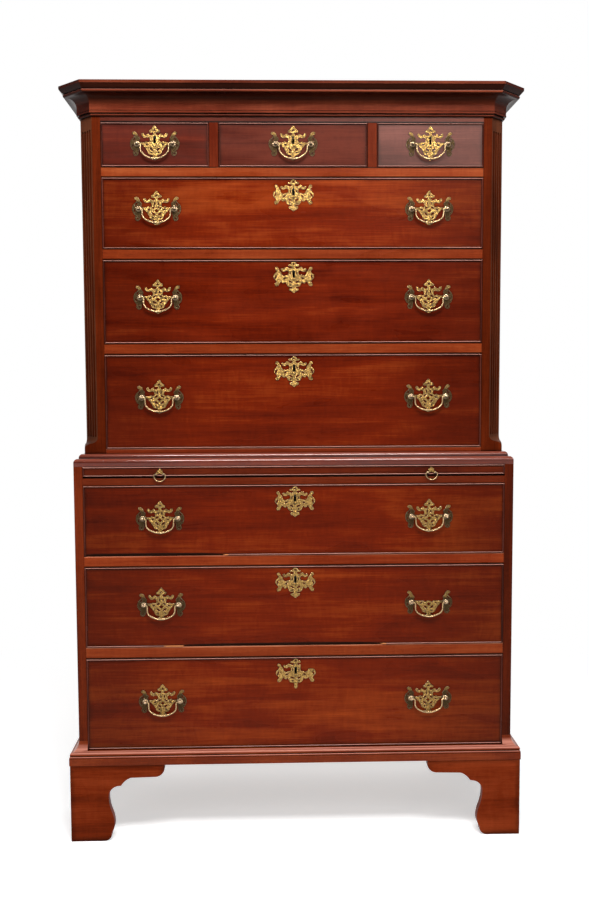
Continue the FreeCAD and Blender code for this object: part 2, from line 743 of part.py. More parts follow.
PLATE = [(1.2, 43), (4.6, 38), (8.6, 32.6), (12.6, 32), (12.6, 27.6), (7.6, 26.6), (3, 27.2),
         (3, 21.4), (8.2, 19.6), (12, 21.2), (15.6, 25.4), (19.6, 20.4), (23.4, 19.4), (25.8, 24.4),
         (30, 25.6), (31.6, 20.6), (27.6, 15.4), (21.6, 13.6), (17.6, 16.4), (12.4, 14.8),
         (11.2, 10.6), (11.6, 5.4), (15.6, 3.4), (20.6, 6.8), (23.4, 3.2), (36.2, 3.6), (37.2, 9.4),
         (34, 13.2), (39.2, 17.4), (41.8, 25.4), (48, 29.6), (53.8, 26), (50.8, 21.2), (45.4, 21.4),
         (49.8, 15.2), (57.2, 9), (58.8, -3), (54, -12.8), (47.8, -15.8), (52.6, -19.6),
         (50, -27.2), (42.6, -28.2), (38.4, -22.4), (39.2, -13.8), (36, -5.4), (32.2, -0.4),
         (28.6, -1.4), (25.4, -6.8), (21.6, -8.6), (20.6, -13.6), (17.2, -15.8), (16.2, -21.6),
         (11.8, -25.4), (4.4, -26.6), (3.8, -30.4), (9, -31), (8.6, -35), (3.6, -36.2), (0.8, -38)]
ESCUTCHEON = [(1.2, 34), (5.2, 31.6), (7.4, 27.2), (12.6, 28.4), (13.8, 23.6), (8, 23.2), (3.8, 23.8),
              (4.2, 17.8), (10.6, 17.6), (18.6, 23.4), (23.2, 14.6), (27.2, 19.2), (31.4, 17), (29, 11.6),
              (21.6, 9.8), (18.4, 13.6), (11.6, 12.2), (11.6, 2.4), (19, 2.4), (23.4, -0.6), (30, 3),
              (31.4, 10.6), (35.2, 13.6), (38.6, 21.4), (43.8, 22.2), (46, 15.4), (39.4, 13.4),
              (42.4, 8.2), (48.4, 3), (49, -5), (42.8, -10.4), (40.4, -15.2), (46.2, -17.8), (44.8, -24.4),
              (37.6, -24.2), (34, -16.2), (30.2, -11.4), (27.2, -17.4), (22.8, -17.6), (19.8, -12),
              (17.4, -19.4), (13.8, -25.6), (4.6, -25.8), (3.6, -29.4), (11.6, -29.8), (11, -34.6),
              (4.4, -37), (0.9, -41)]
SLIDE_PLATE = [(0.8, 13.8), (2.8, 11.8), (2.8, 9.6), (6.6, 9.8), (7, 6.2), (3.4, 5), (6.6, 3.4),
               (11.8, 2.6), (11.8, -1.8), (6, -1.8), (3.6, 1), (0.6, 2.2)]
TREFOIL = [(0, 3.6), (4, -1.8), (-4, -1.8)]
DIAMOND = [(0, 4.6), (5.4, 0), (0, -4.6), (-5.4, 0)]
SMILE = [(-6.2, 1.8), (0, -0.2), (6.2, 1.8), (0, -3)]


def cast_plate(half_outline, thickness):
    """Flat casting whose outline is mirrored about its upright centre line."""
    points = half_outline + [(-x, z) for x, z in reversed(half_outline)]
    wire = rounded(points, lambda x, z: Vector(x, 0, z))
    return Part.Face(wire).extrude(AHEAD * thickness)


def pierced(plate, wires, thickness):
    """Plate with openings cut through it."""
    drills = [Part.Face(wire).extrude(AHEAD * (thickness + 2)) for wire in wires]
    return plate.cut(drills)


def figure(points, x, z):
    """Small pierced figure with straight sides, behind the plate's back face."""
    return path((points[0][0] + x, points[0][1] + z), [(u + x, v + z) for u, v in points[1:]],
                lambda u, v: Vector(u, 1, v))


def leaf(x, z, length, width, tilt):
    """Leaf-shaped opening: two arcs between its tips, tilted in degrees."""
    turn = math.radians(tilt)

    def place(u, v):
        return Vector(x + u * math.cos(turn) - v * math.sin(turn), 1,
                      z + u * math.sin(turn) + v * math.cos(turn))

    half, bulge = length / 2, width / 2
    return path((-half, 0), [((0, bulge), (half, 0)), ((0, -bulge), (-half, 0))], place)


def round_hole(x, z, radius):
    return Part.Wire(Part.Circle(Vector(x, 1, z), AHEAD, radius).toShape())


def keyhole_wire(lift, behind):
    """Round head over a slot, in a plane a given distance behind the face."""
    head, foot = size("keyhole_top") + lift, size("keyhole_bottom") + lift
    radius, slot = size("keyhole_radius"), size("keyhole_slot")
    drop = math.sqrt(radius ** 2 - slot ** 2)
    return path((-slot, foot), [(slot, foot), (slot, head - drop),
                                ((0, head + radius), (-slot, head - drop))],
                lambda u, v: Vector(u, behind, v))


def both_sides(x, z, length, width, tilt):
    """The same leaf on the right and mirrored on the left."""
    return [leaf(x, z, length, width, tilt), leaf(-x, z, length, width, -tilt)]


def pull_plate(with_keyhole):
    """Pierced back plate of a drawer pull, with its post holes."""
    thickness = size("plate_thickness")
    spacing, shank = size("post_half_spacing"), size("post_shank")
    wires = [figure(TREFOIL, 0, 32), round_hole(-spacing, 0, shank), round_hole(spacing, 0, shank)]
    wires += both_sides(18.6, -1.4, 8.4, 3.8, -24)
    wires += both_sides(7.8, -11.4 if not with_keyhole else -12.6, 11.4, 5, 36)
    wires += [round_hole(x, -20, 2) for x in (-8.6, 8.6)]
    wires += both_sides(48.6, 11, 12, 4.2, -56)
    wires += both_sides(52.4, -4.4, 10, 3.6, 82)
    wires += [round_hole(x, -22, 2.4) for x in (-45.4, 45.4)]
    if with_keyhole:
        wires += [keyhole_wire(size("small_keyhole_lift"), 1), figure(SMILE, 0, -6)]
    else:
        wires += both_sides(7.4, 3, 10.4, 4.4, -30)
        wires += both_sides(4.4, 13, 9, 3.4, 90)
        wires.append(figure(DIAMOND, 0, -4.2))
    return pierced(cast_plate(PLATE, thickness), wires, thickness)


def escutcheon_plate():
    """Pierced keyhole plate of a long drawer."""
    thickness = size("plate_thickness")
    wires = [figure(TREFOIL, 0, 28.4), keyhole_wire(0, 1), figure(SMILE, 0, -8.4)]
    wires += both_sides(21.6, -5.4, 9, 4, -32)
    wires += both_sides(8.2, -13.8, 11, 4.6, 30)
    wires += [round_hole(x, -21.6, 2) for x in (-8.2, 8.2)]
    wires += both_sides(7.6, 6.4, 8, 2.8, 90)
    wires += both_sides(43.6, -2, 12, 4.2, -70)
    return pierced(cast_plate(ESCUTCHEON, thickness), wires, thickness)


def bail_shape(pin_end, half_width, drop, straight, corner, bend, radii):
    """Swinging bail: two pins, two cheeks and a bow that thickens towards its middle.

    It hangs from the X axis.  pin_end is where a pin stops, half_width is where a cheek hangs,
    and radii are those of the pins, the cheeks and the middle of the bow.
    """
    pin, thin, thick = radii
    sign = 1 if pin_end > half_width else -1
    deep = drop - straight
    side = half_width - bend
    bow = (side ** 2 + deep ** 2 - bend ** 2) / (2 * (deep - bend))
    bow_centre = bow - drop
    turn = math.atan2(side, bow_centre + straight)
    touch = (bow * math.sin(turn), bow_centre - bow * math.cos(turn))
    quarter = math.pi / 4 + turn / 2
    on_bend = (side + bend * math.sin(quarter), -straight - bend * math.cos(quarter))
    elbow = (half_width + sign * corner * (1 - math.cos(math.pi / 4)),
             -corner * (1 - math.sin(math.pi / 4)))

    def half(mirror):
        def place(x, z):
            return Vector(mirror * x, 0, z)

        hook = Part.Wire([
            Part.LineSegment(place(pin_end, 0), place(half_width + sign * corner, 0)).toShape(),
            Part.Arc(place(half_width + sign * corner, 0), place(*elbow),
                     place(half_width, -corner)).toShape(),
            Part.LineSegment(place(half_width, -corner), place(half_width, -straight)).toShape()])
        ring = Part.Wire(Part.Circle(place(pin_end, 0), RIGHT, pin).toShape())
        arm = hook.makePipeShell([ring], True, True)
        spine = Part.Wire([
            Part.Arc(place(half_width, -straight), place(*on_bend), place(*touch)).toShape(),
            Part.Arc(place(*touch), place(bow * math.sin(turn / 2),
                                          bow_centre - bow * math.cos(turn / 2)),
                     place(0, -drop)).toShape()])
        small = Part.Wire(Part.Circle(place(half_width, -straight), UP, pin).toShape())
        large = Part.Wire(Part.Circle(place(0, -drop), RIGHT, thick).toShape())
        sweep = Part.BRepOffsetAPI.MakePipeShell(spine)
        sweep.setFrenetMode(True)
        sweep.add(small)
        sweep.add(large)
        sweep.build()
        sweep.makeSolid()
        return [arm, sweep.shape()]

    pieces = half(1) + half(-1)
    return pieces[0].fuse(pieces[1:]).removeSplitter()


def post_body(name, prefix, standoff, plate, inside):
    """Turned post: shank, collar on the plate, neck and a ball bored for the bail's pin."""
    body = doc.addObject("PartDesign::Body", name)
    sketch = body.newObject("Sketcher::SketchObject", f"{name}_profile")
    origin_plane = next(f for f in body.Origin.OriginFeatures if f.Role == "XY_Plane")
    sketch.AttachmentSupport = (origin_plane, [""])
    sketch.MapMode = "FlatFace"
    shank, collar = size(f"{prefix}post_shank"), size(f"{prefix}post_collar")
    neck, ball = size(f"{prefix}post_neck"), size(f"{prefix}post_ball")
    face, axle = size(plate), size(standoff)
    root = axle - math.sqrt(ball ** 2 - neck ** 2)
    outline = [(0, inside), (shank, inside), (shank, -face), (collar, -face), (neck, -face - 1.4),
               (neck, -root), (0, -axle - ball)]
    for here, there in zip(outline[:-2], outline[1:-1]):
        sketch.addGeometry(Part.LineSegment(Vector(*here, 0), Vector(*there, 0)))
    knob = Part.Arc(Vector(neck, -root, 0), Vector(ball, -axle, 0), Vector(0, -axle - ball, 0))
    sketch.addGeometry(knob)
    sketch.addGeometry(Part.LineSegment(Vector(0, -axle - ball, 0), Vector(0, inside, 0)))
    turned = body.newObject("PartDesign::Revolution", f"{name}_turned")
    turned.Profile = sketch
    turned.ReferenceAxis = (sketch, ["V_Axis"])
    turned.Angle = 360
    doc.recompute()
    hole = f"(Dims.{prefix}bail_pin + Dims.pin_gap)"
    bore = doc.addObject("Part::Cylinder", f"{name}_bore_tool")
    bore.setExpression("Radius", hole)
    bore.setExpression("Height", f"4 * Dims.{prefix}post_ball")
    bore.Placement = Placement(Vector(), Rotation(Vector(0, 1, 0), 90))
    bore.setExpression("Placement.Base.x", f"-2 * Dims.{prefix}post_ball")
    bore.setExpression("Placement.Base.y", f"-Dims.{standoff}")
    return cut(f"{name}_bored", body, [bore])


def nut_body(name, prefix, share):
    """Nut on the inside of the drawer front."""
    width = f"(Dims.nut_radius * {share})"
    outer = doc.addObject("Part::Prism", f"{name}_blank")
    outer.Polygon = 6
    outer.setExpression("Circumradius", width)
    outer.setExpression("Height", "Dims.nut_thickness")
    outer.Placement = Placement(Vector(), Rotation(Vector(1, 0, 0), -90))
    bore = doc.addObject("Part::Cylinder", f"{name}_bore")
    bore.setExpression("Radius", f"Dims.{prefix}post_shank")
    bore.setExpression("Height", "Dims.nut_thickness")
    bore.Placement = Placement(Vector(), Rotation(Vector(1, 0, 0), -90))
    return cut(name, outer, [bore])


# ---------------------------------------------------------------- drawers

SMALL_SIDE_LOW = "(Dims.divider_centre + Dims.divider_width / 2)"
SMALL_MIDDLE_HALF = "(Dims.divider_centre - Dims.divider_width / 2)"
SMALL_SIDE_CENTRE = f"(({SMALL_SIDE_LOW} + {UPPER_OPENING}) / 2)"
SMALL_SIDE_HALF = f"(({UPPER_OPENING} - {SMALL_SIDE_LOW}) / 2)"

SMALL_DRAWERS = [
    {"name": "top_left", "centre": f"(-{SMALL_SIDE_CENTRE})", "half": SMALL_SIDE_HALF},
    {"name": "top_middle", "centre": "0", "half": SMALL_MIDDLE_HALF},
    {"name": "top_right", "centre": SMALL_SIDE_CENTRE, "half": SMALL_SIDE_HALF},
]
for drawer in SMALL_DRAWERS:
    drawer.update(opening="small_opening", front=UPPER_FRONT, rise="Dims.pull_rise_small", small=True)
LONG_DRAWERS = [
    {"name": "upper_first", "opening": "first_opening"},
    {"name": "upper_second", "opening": "second_opening"},
    {"name": "upper_third", "opening": "third_opening"},
    {"name": "lower_first", "opening": "high_opening"},
    {"name": "lower_second", "opening": "mid_opening"},
    {"name": "lower_third", "opening": "low_opening"},
]
for drawer in LONG_DRAWERS:
    upper = drawer["name"].startswith("upper")
    drawer.update(centre="0", half=UPPER_OPENING if upper else LOWER_INNER, small=False,
                  front=UPPER_FRONT if upper else FRONT,
                  rise="Dims.pull_rise_upper" if upper else "Dims.pull_rise_lower")
BROKEN_PLATE = ("lower_second", 1)
WORN_ESCUTCHEON = "lower_third"
LOST_BEAD = {"lower_first": (f"(-{LOWER_HALF})", "Dims.first_loss_end"),
             "lower_second": ("Dims.second_loss_start", "Dims.second_loss_end")}


def less_stretch(strip, stretch, face):
    """Pieces of a cockbead strip that are left when one stretch of it has broken away."""
    start, end = [num(place) for place in stretch]
    slant, proud, depth = size("break_slant"), size("bead_proud"), size("bead_depth")
    ahead, behind, floor = face - proud - 1, face + depth + 1, strip.BoundBox.ZMin - 1
    outline = [Vector(start - slant, ahead, floor), Vector(end + slant, ahead, floor),
               Vector(end - slant, behind, floor), Vector(start + slant, behind, floor)]
    gap = Part.Face(Part.makePolygon(outline + outline[:1]))
    return strip.cut(gap.extrude(UP * (strip.BoundBox.ZLength + 2))).Solids


def bead_strips(name, x, z, front):
    """Cockbead around a front: four strips with rounded noses, mitred at the corners."""
    thick, depth, proud = size("bead_thickness"), size("bead_depth"), size("bead_proud")
    (left, right), (low, high) = [tuple(num(v) for v in pair) for pair in (x, z)]
    face = num(front)
    nose = thick / 2

    def section(place):
        return path((0, depth), [(0, -proud + nose), ((nose, -proud), (thick, -proud + nose)),
                                 (thick, depth)], place)

    corner = [Vector(left, face, low), Vector(right, face, low), Vector(right, face, high),
              Vector(left, face, high)]
    inward = [UP, LEFT, UP * -1, RIGHT]
    strips = []
    for i, word in enumerate(("bottom", "right", "top", "left")):
        start, end = corner[i], corner[(i + 1) % 4]
        before, after = inward[i - 1] + inward[i], inward[i] + inward[(i + 1) % 4]
        pieces = [mitred(section, start, end, inward[i], before, after, AHEAD * -1)]
        if word == "bottom" and name in LOST_BEAD:
            pieces = less_stretch(pieces[0], LOST_BEAD[name], face)
        for j, piece in enumerate(pieces, start=1):
            strips.append(feature(f"{name}_bead_{word}_{j}", piece))
    return strips


def beaded_board(name, x, z, front, thickness):
    """Board of a front, with a shallow rebate around its face for the cockbead."""
    board = box(f"{name}_blank", x, (front, f"({front} + {thickness})"), z)
    rebate = box(f"{name}_rebate_blank", x, (front, f"({front} + Dims.bead_depth)"), z)
    inner_x = (f"({x[0]} + Dims.bead_thickness)", f"({x[1]} - Dims.bead_thickness)")
    inner_z = (f"({z[0]} + Dims.bead_thickness)", f"({z[1]} - Dims.bead_thickness)")
    field = box(f"{name}_field", inner_x, (front, f"({front} + Dims.bead_depth)"), inner_z)
    return cut(f"{name}_beaded", board, [cut(f"{name}_rebate", rebate, [field])])


def wedge(name, x, near, far, z_near, z_far):
    """Dovetail: a block whose height changes from one end to the other along Y."""
    tail = doc.addObject("Part::Wedge", name)
    tail.setExpression("Xmin", x[0])
    tail.setExpression("X2min", x[0])
    tail.setExpression("Xmax", x[1])
    tail.setExpression("X2max", x[1])
    tail.setExpression("Ymin", near)
    tail.setExpression("Ymax", far)
    tail.setExpression("Zmin", z_near[0])
    tail.setExpression("Zmax", z_near[1])
    tail.setExpression("Z2min", z_far[0])
    tail.setExpression("Z2max", z_far[1])
    return tail


def tails(name, x, near, far, low, high, wide_near):
    """Row of dovetails between two heights, wide at their free end."""
    count = max(2, round((num(high) - num(low)) / size("tail_pitch")))
    row = []
    pitch = f"(({high} - {low}) / {count})"
    wide = f"({pitch} * Dims.tail_share / 2)"
    narrow = f"({wide} - Dims.tail_flare)"
    for i in range(count):
        middle = f"({low} + {pitch} * {i + 0.5})"
        ends = [around(middle, wide), around(middle, narrow)]
        if not wide_near:
            ends.reverse()
        row.append(wedge(f"{name}_{i + 1}", x, near, far, *ends))
    return row


def keyhole_tool(name, x, y_front, y_back, z, lift):
    """Keyhole through a front, shaped as the one in its plate."""
    depth = num(y_back) - num(y_front)
    shape = Part.Face(keyhole_wire(lift, depth)).extrude(AHEAD * depth)
    return feature(name, shape, x, y_front, z)


def drawer_places(spec):
    """Spans and levels of one drawer, as expressions."""
    low, high = LEVEL[spec["opening"]]
    half = f"({spec['half']} - Dims.drawer_side_gap)"
    depth = f"({INNER_BACK} - Dims.drawer_back_gap)"
    floor = f"({low} + Dims.running_gap)"
    places = {
        "x": around(spec["centre"], half),
        "z": (floor, f"({high} - Dims.drawer_top_gap)"),
        "front": spec["front"],
        "inside": f"({spec['front']} + Dims.front_thickness)",
        "rear": depth,
        "side_top": f"({high} - Dims.drawer_top_gap - Dims.side_drop)",
        "bottom": f"({floor} + Dims.bottom_lift)",
        "pull_z": f"(({low} + {high}) / 2 + {spec['rise']})",
        "key_z": f"({high} - Dims.escutcheon_drop)",
    }
    places["bottom_top"] = f"({places['bottom']} + Dims.bottom_thickness)"
    return places


def drawer_box(spec, at):
    """Dovetailed oak sides and back with a thin bottom in grooves."""
    name = spec["name"]
    lap_start = f"({at['inside']} - Dims.lap_depth)"
    back_front = f"({at['rear']} - Dims.side_thickness)"
    back_z = (at["bottom_top"], f"({at['side_top']} - Dims.back_drop)")
    bottom = box(f"{name}_bottom",
                 (f"({at['x'][0]} + Dims.side_thickness - Dims.bottom_groove)",
                  f"({at['x'][1]} - Dims.side_thickness + Dims.bottom_groove)"),
                 (f"({at['inside']} - Dims.bottom_groove)", at["rear"]),
                 (at["bottom"], at["bottom_top"]))
    spans = {"left": (at["x"][0], f"({at['x'][0]} + Dims.side_thickness)"),
             "right": (f"({at['x'][1]} - Dims.side_thickness)", at["x"][1])}
    fused, sides = [], []
    for word, x in spans.items():
        label = f"{name}_side_{word}"
        pieces = [box(f"{label}_board", x, (at["inside"], back_front), (at["z"][0], at["side_top"])),
                  box(f"{label}_heel", x, (back_front, at["rear"]), (at["z"][0], at["bottom_top"]))]
        pieces += tails(f"{label}_front_tail", x, lap_start, at["inside"], at["z"][0],
                        at["side_top"], True)
        pieces += tails(f"{label}_rear_tail", x, back_front, at["rear"], *back_z, False)
        board = joined(label, pieces)
        fused.append(board)
        sides.append(cut(f"{label}_grooved", board, [bottom]))
    back = cut(f"{name}_back", box(f"{name}_back_board", at["x"], (back_front, at["rear"]), back_z),
               fused)
    node(f"{name}_drawer_box", sides + [back, bottom])
    return fused, bottom


def drawer_front(spec, at, fused_sides, bottom):
    """Mahogany front with its cockbead, let out for dovetails, bottom, lock and posts."""
    name = spec["name"]
    board = beaded_board(f"{name}_front", at["x"], at["z"], at["front"], "Dims.front_thickness")
    lock_x = around(spec["centre"], "Dims.lock_width / 2")
    lock_y = (f"({at['inside']} - Dims.lock_depth)", at["inside"])
    lock_z = (f"({at['z'][1]} - Dims.lock_height)", at["z"][1])
    lock_blank = box(f"{name}_lock_blank", lock_x, lock_y, lock_z)
    key_z, lift = at["key_z"], 0
    if spec["small"]:
        key_z, lift = at["pull_z"], size("small_keyhole_lift")
    deep = f"({lock_y[0]} + Dims.lock_recess)"
    keyhole = keyhole_tool(f"{name}_keyhole", spec["centre"], at["front"], deep, key_z, lift)
    shanks = []
    for i, (x, z) in enumerate(spec["posts"]):
        shank = doc.addObject("Part::Cylinder", f"{name}_shank_hole_{i + 1}")
        shank.setExpression("Radius", "Dims.post_shank + Dims.post_hole_gap")
        shank.setExpression("Height", "Dims.front_thickness")
        shank.Placement = Placement(Vector(), Rotation(Vector(1, 0, 0), -90))
        for axis, place in zip("xyz", (x, at["front"], z)):
            shank.setExpression(f"Placement.Base.{axis}", f"{place}")
        shanks.append(shank)
    mortised = cut(f"{name}_front_mortised", board, [lock_blank])
    drilled = cut(f"{name}_front_drilled", mortised, [keyhole])
    bored = cut(f"{name}_front_bored", drilled, shanks)
    front = cut(f"{name}_front_board", bored, fused_sides + [bottom])
    node(f"{name}_drawer_front", [front] + bead_strips(name, at["x"], at["z"], at["front"]))

    lock_case = cut(f"{name}_lock_case", lock_blank, [keyhole])
    pin = doc.addObject("Part::Cylinder", f"{name}_lock_pin")
    pin.setExpression("Radius", "Dims.lock_pin")
    pin.setExpression("Height", f"Dims.lock_recess + Dims.front_thickness - Dims.lock_depth")
    pin.Placement = Placement(Vector(), Rotation(Vector(1, 0, 0), -90))
    pin_z = f"({key_z} + Dims.keyhole_top + {lift})"
    for axis, place in zip("xyz", (spec["centre"], at["front"], pin_z)):
        pin.setExpression(f"Placement.Base.{axis}", f"{place}")
    return [joined(f"{name}_lock", [lock_case, pin])]


def fit_brasses(spec, at, lock):
    """Plates, posts and nuts on a drawer front, and a bail for each plate."""
    name = spec["name"]
    brasses = list(lock)
    for i, x in enumerate(spec["pulls"]):
        source = PLATES["small"] if spec["small"] else PLATES["long"]
        if (name, i) == BROKEN_PLATE:
            source = PLATES["broken"]
        brasses.append(link(f"{name}_plate_{i + 1}", source, x, at["front"], at["pull_z"]))
        drop = "small" if spec["small"] else "long"
        bail = feature(f"{name}_bail_piece_{i + 1}", BAILS[drop], x,
                       f"({at['front']} - Dims.bail_standoff)", at["pull_z"])
        label = f"{name}_bail" if spec["small"] else f"{name}_bail_{('left', 'right')[i]}"
        node(label, [bail])
    for i, (x, z) in enumerate(spec["posts"]):
        brasses.append(link(f"{name}_post_{i + 1}", POSTS["pull"], x, at["front"], z))
        brasses.append(link(f"{name}_nut_{i + 1}", NUTS["pull"], x, at["inside"], z))
    if not spec["small"]:
        source = PLATES["worn" if name == WORN_ESCUTCHEON else "escutcheon"]
        brasses.append(link(f"{name}_escutcheon", source, spec["centre"], at["front"], at["key_z"]))
    node(f"{name}_drawer_brass", brasses)


def build_drawer(spec):
    at = drawer_places(spec)
    spec["pulls"] = [spec["centre"]] if spec["small"] else ["(-Dims.pull_offset)", "Dims.pull_offset"]
    spec["posts"] = [(f"({x} + {sign} * Dims.post_half_spacing)", at["pull_z"])
                     for x in spec["pulls"] for sign in (-1, 1)]
    fused_sides, bottom = drawer_box(spec, at)
    lock = drawer_front(spec, at, fused_sides, bottom)
    fit_brasses(spec, at, lock)


def brushing_slide():
    """Pull-out board above the lower drawers: a panel between two end cleats and a front strip."""
    low, high = LEVEL["slide_opening"]
    floor = f"({low} + Dims.running_gap)"
    half = f"({LOWER_INNER} - Dims.drawer_side_gap)"
    strip_back = f"({FRONT} + Dims.slide_strip_depth)"
    strip_x = (f"(-{half})", half)
    strip_z = (f"({low} + Dims.slide_bottom_gap)", f"({high} - Dims.slide_top_gap)")
    board_y = (strip_back, f"({strip_back} + Dims.slide_length)")
    board_z = (floor, f"({floor} + Dims.slide_thickness)")
    pull_z = f"({floor} + Dims.slide_pull_rise)"
    strip = beaded_board("slide_strip", strip_x, strip_z, FRONT, "Dims.slide_strip_depth")
    panel_half = f"({half} - Dims.slide_cleat)"
    members = [box("slide_panel", (f"(-{panel_half})", panel_half), board_y, board_z)]
    for sign, word in ((-1, "left"), (1, "right")):
        members.append(box(f"slide_cleat_{word}", sided(sign, panel_half, half), board_y, board_z))
    pulls = [f"({side} * Dims.slide_pull_offset + Dims.slide_pull_shift)" for side in (-1, 1)]
    posts = [f"({x} + {sign} * Dims.slide_post_half_spacing)" for x in pulls for sign in (-1, 1)]
    fittings, shanks = [], []
    for i, x in enumerate(posts):
        shank = doc.addObject("Part::Cylinder", f"slide_shank_hole_{i + 1}")
        shank.setExpression("Radius", "Dims.slide_post_shank + Dims.post_hole_gap")
        shank.setExpression("Height", "Dims.slide_strip_depth")
        shank.Placement = Placement(Vector(), Rotation(Vector(1, 0, 0), -90))
        for axis, place in zip("xyz", (x, FRONT, pull_z)):
            shank.setExpression(f"Placement.Base.{axis}", f"{place}")
        shanks.append(shank)
        fittings.append(link(f"slide_post_{i + 1}", POSTS["slide"], x, FRONT, pull_z))
    members.append(cut("slide_strip_bored", strip, shanks))
    node("slide_board", members + bead_strips("slide", strip_x, strip_z, FRONT))
    for x, word in zip(pulls, ("left", "right")):
        fittings.append(link(f"slide_plate_{word}", PLATES["slide"], x, FRONT, pull_z))
        bail = feature(f"slide_bail_piece_{word}", BAILS["slide"], x,
                       f"({FRONT} - Dims.slide_bail_standoff)", pull_z)
        node(f"slide_bail_{word}", [bail])
    node("slide_fittings", fittings)


# ---------------------------------------------------------------- assembly

PLATES, POSTS, NUTS, BAILS = {}, {}, {}, {}


def worn_escutcheon(plate):
    """Keyhole plate that has lost its upper right arm and the cross of its lower finial."""
    arm = Part.makeBox(60, 10, 60, Vector(size("lost_arm_start"), -8, size("lost_arm_level")))
    half = size("lost_finial_half")
    ends = [Part.makeBox(30, 10, 30, Vector(x, -8, size("lost_finial_level") - 30))
            for x in (half, -half - 30)]
    return plate.cut([arm] + ends)


def make_brass_patterns():
    """The castings that repeat over the chest, modelled around the origin."""
    long_plate = pull_plate(False)
    PLATES["long"] = feature("pattern_pull_plate", long_plate)
    PLATES["small"] = feature("pattern_small_plate", pull_plate(True))
    wide, level = size("break_half_width"), size("break_level")
    missing = Part.makeBox(2 * wide, 10, 60, Vector(-wide, -8, level))
    PLATES["broken"] = feature("pattern_broken_plate", long_plate.cut(missing))
    keyhole_plate = escutcheon_plate()
    PLATES["escutcheon"] = feature("pattern_escutcheon", keyhole_plate)
    PLATES["worn"] = feature("pattern_worn_escutcheon", worn_escutcheon(keyhole_plate))
    spacing, shank = size("slide_post_half_spacing"), size("slide_post_shank")
    thickness = size("slide_plate_thickness")
    holes = [round_hole(x, 0, shank) for x in (-spacing, spacing)]
    PLATES["slide"] = feature("pattern_slide_plate",
                              pierced(cast_plate(SLIDE_PLATE, thickness), holes, thickness))
    through_front = size("front_thickness") + size("nut_thickness")
    POSTS["pull"] = post_body("pattern_post", "", "bail_standoff", "plate_thickness", through_front)
    POSTS["slide"] = post_body("pattern_slide_post", "slide_", "slide_bail_standoff",
                               "slide_plate_thickness", size("slide_strip_depth"))
    NUTS["pull"] = nut_body("pattern_nut", "", 1)
    long_pin_end = size("post_half_spacing") + size("post_ball") * 0.6
    radii = (size("bail_pin"), size("bail_thin"), size("bail_thick"))
    for word, drop in (("long", "bail_drop"), ("small", "small_bail_drop")):
        BAILS[word] = bail_shape(long_pin_end, size("bail_half_width"), size(drop),
                                 size("bail_straight"), size("bail_corner"), size("bail_bend"), radii)
    slide_pin_end = size("slide_post_half_spacing") - size("slide_post_ball") * 0.6
    BAILS["slide"] = bail_shape(slide_pin_end, size("slide_bail_half_width"), size("slide_bail_drop"),
                                size("slide_bail_straight"), size("slide_bail_corner"),
                                size("slide_bail_bend"),
                                (size("slide_bail_pin"), size("slide_bail_thin"),
                                 size("slide_bail_thick")))


def check_and_write():
    """Recompute, refuse anything failed or invalid, and write one STEP file for each node."""
    doc.recompute()
    for item in doc.Objects:
        if "Invalid" in item.State or "Error" in item.State:
            raise RuntimeError(f"{item.Label} failed: {item.State}")
    for bundle in NODES:
        if bundle.Shape.isNull() or not bundle.Shape.isValid():
            raise RuntimeError(f"{bundle.Label} has no valid shape")
    os.makedirs("parts", exist_ok=True)
    for bundle in NODES:
        bundle.Shape.exportStep(f"parts/{bundle.Label}.step")
        print(f"{bundle.Label}: {len(bundle.Shape.Solids)} solids, {bundle.Shape.Volume:.0f} mm3")


make_brass_patterns()
lower_case()
upper_case()
canted_corners()
cornice()
case_mouldings()
feet()
for drawer in SMALL_DRAWERS + LONG_DRAWERS:
    build_drawer(drawer)
brushing_slide()
check_and_write()
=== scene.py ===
import math

import bpy
import numpy as np
from mathutils import Matrix, Vector

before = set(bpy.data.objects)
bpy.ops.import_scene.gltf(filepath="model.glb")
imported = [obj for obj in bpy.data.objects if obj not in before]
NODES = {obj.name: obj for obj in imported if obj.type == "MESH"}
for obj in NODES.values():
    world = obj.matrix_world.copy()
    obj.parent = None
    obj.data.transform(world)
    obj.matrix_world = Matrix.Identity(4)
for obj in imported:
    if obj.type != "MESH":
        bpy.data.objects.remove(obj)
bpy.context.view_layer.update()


# ---------------------------------------------------------------- building materials


def srgb(red, green, blue):
    """Linear colour of the usual 0 to 255 numbers."""
    def linear(value):
        value /= 255
        return value / 12.92 if value <= 0.04045 else ((value + 0.055) / 1.055) ** 2.4
    return (linear(red), linear(green), linear(blue), 1)


AO_SAMPLES = 8
# Ragged outline of a patch. Distances from its middle are shares of its half width or height.
RAGGED = ((300, 300, 500), 2)   # changes per metre along x, y and z, and detail
RAGGED_SHARE = 0.8              # what it adds to the distance at most
RAGGED_EDGE = (1.5, 1.2)        # distances, with that added, where the patch is gone and full


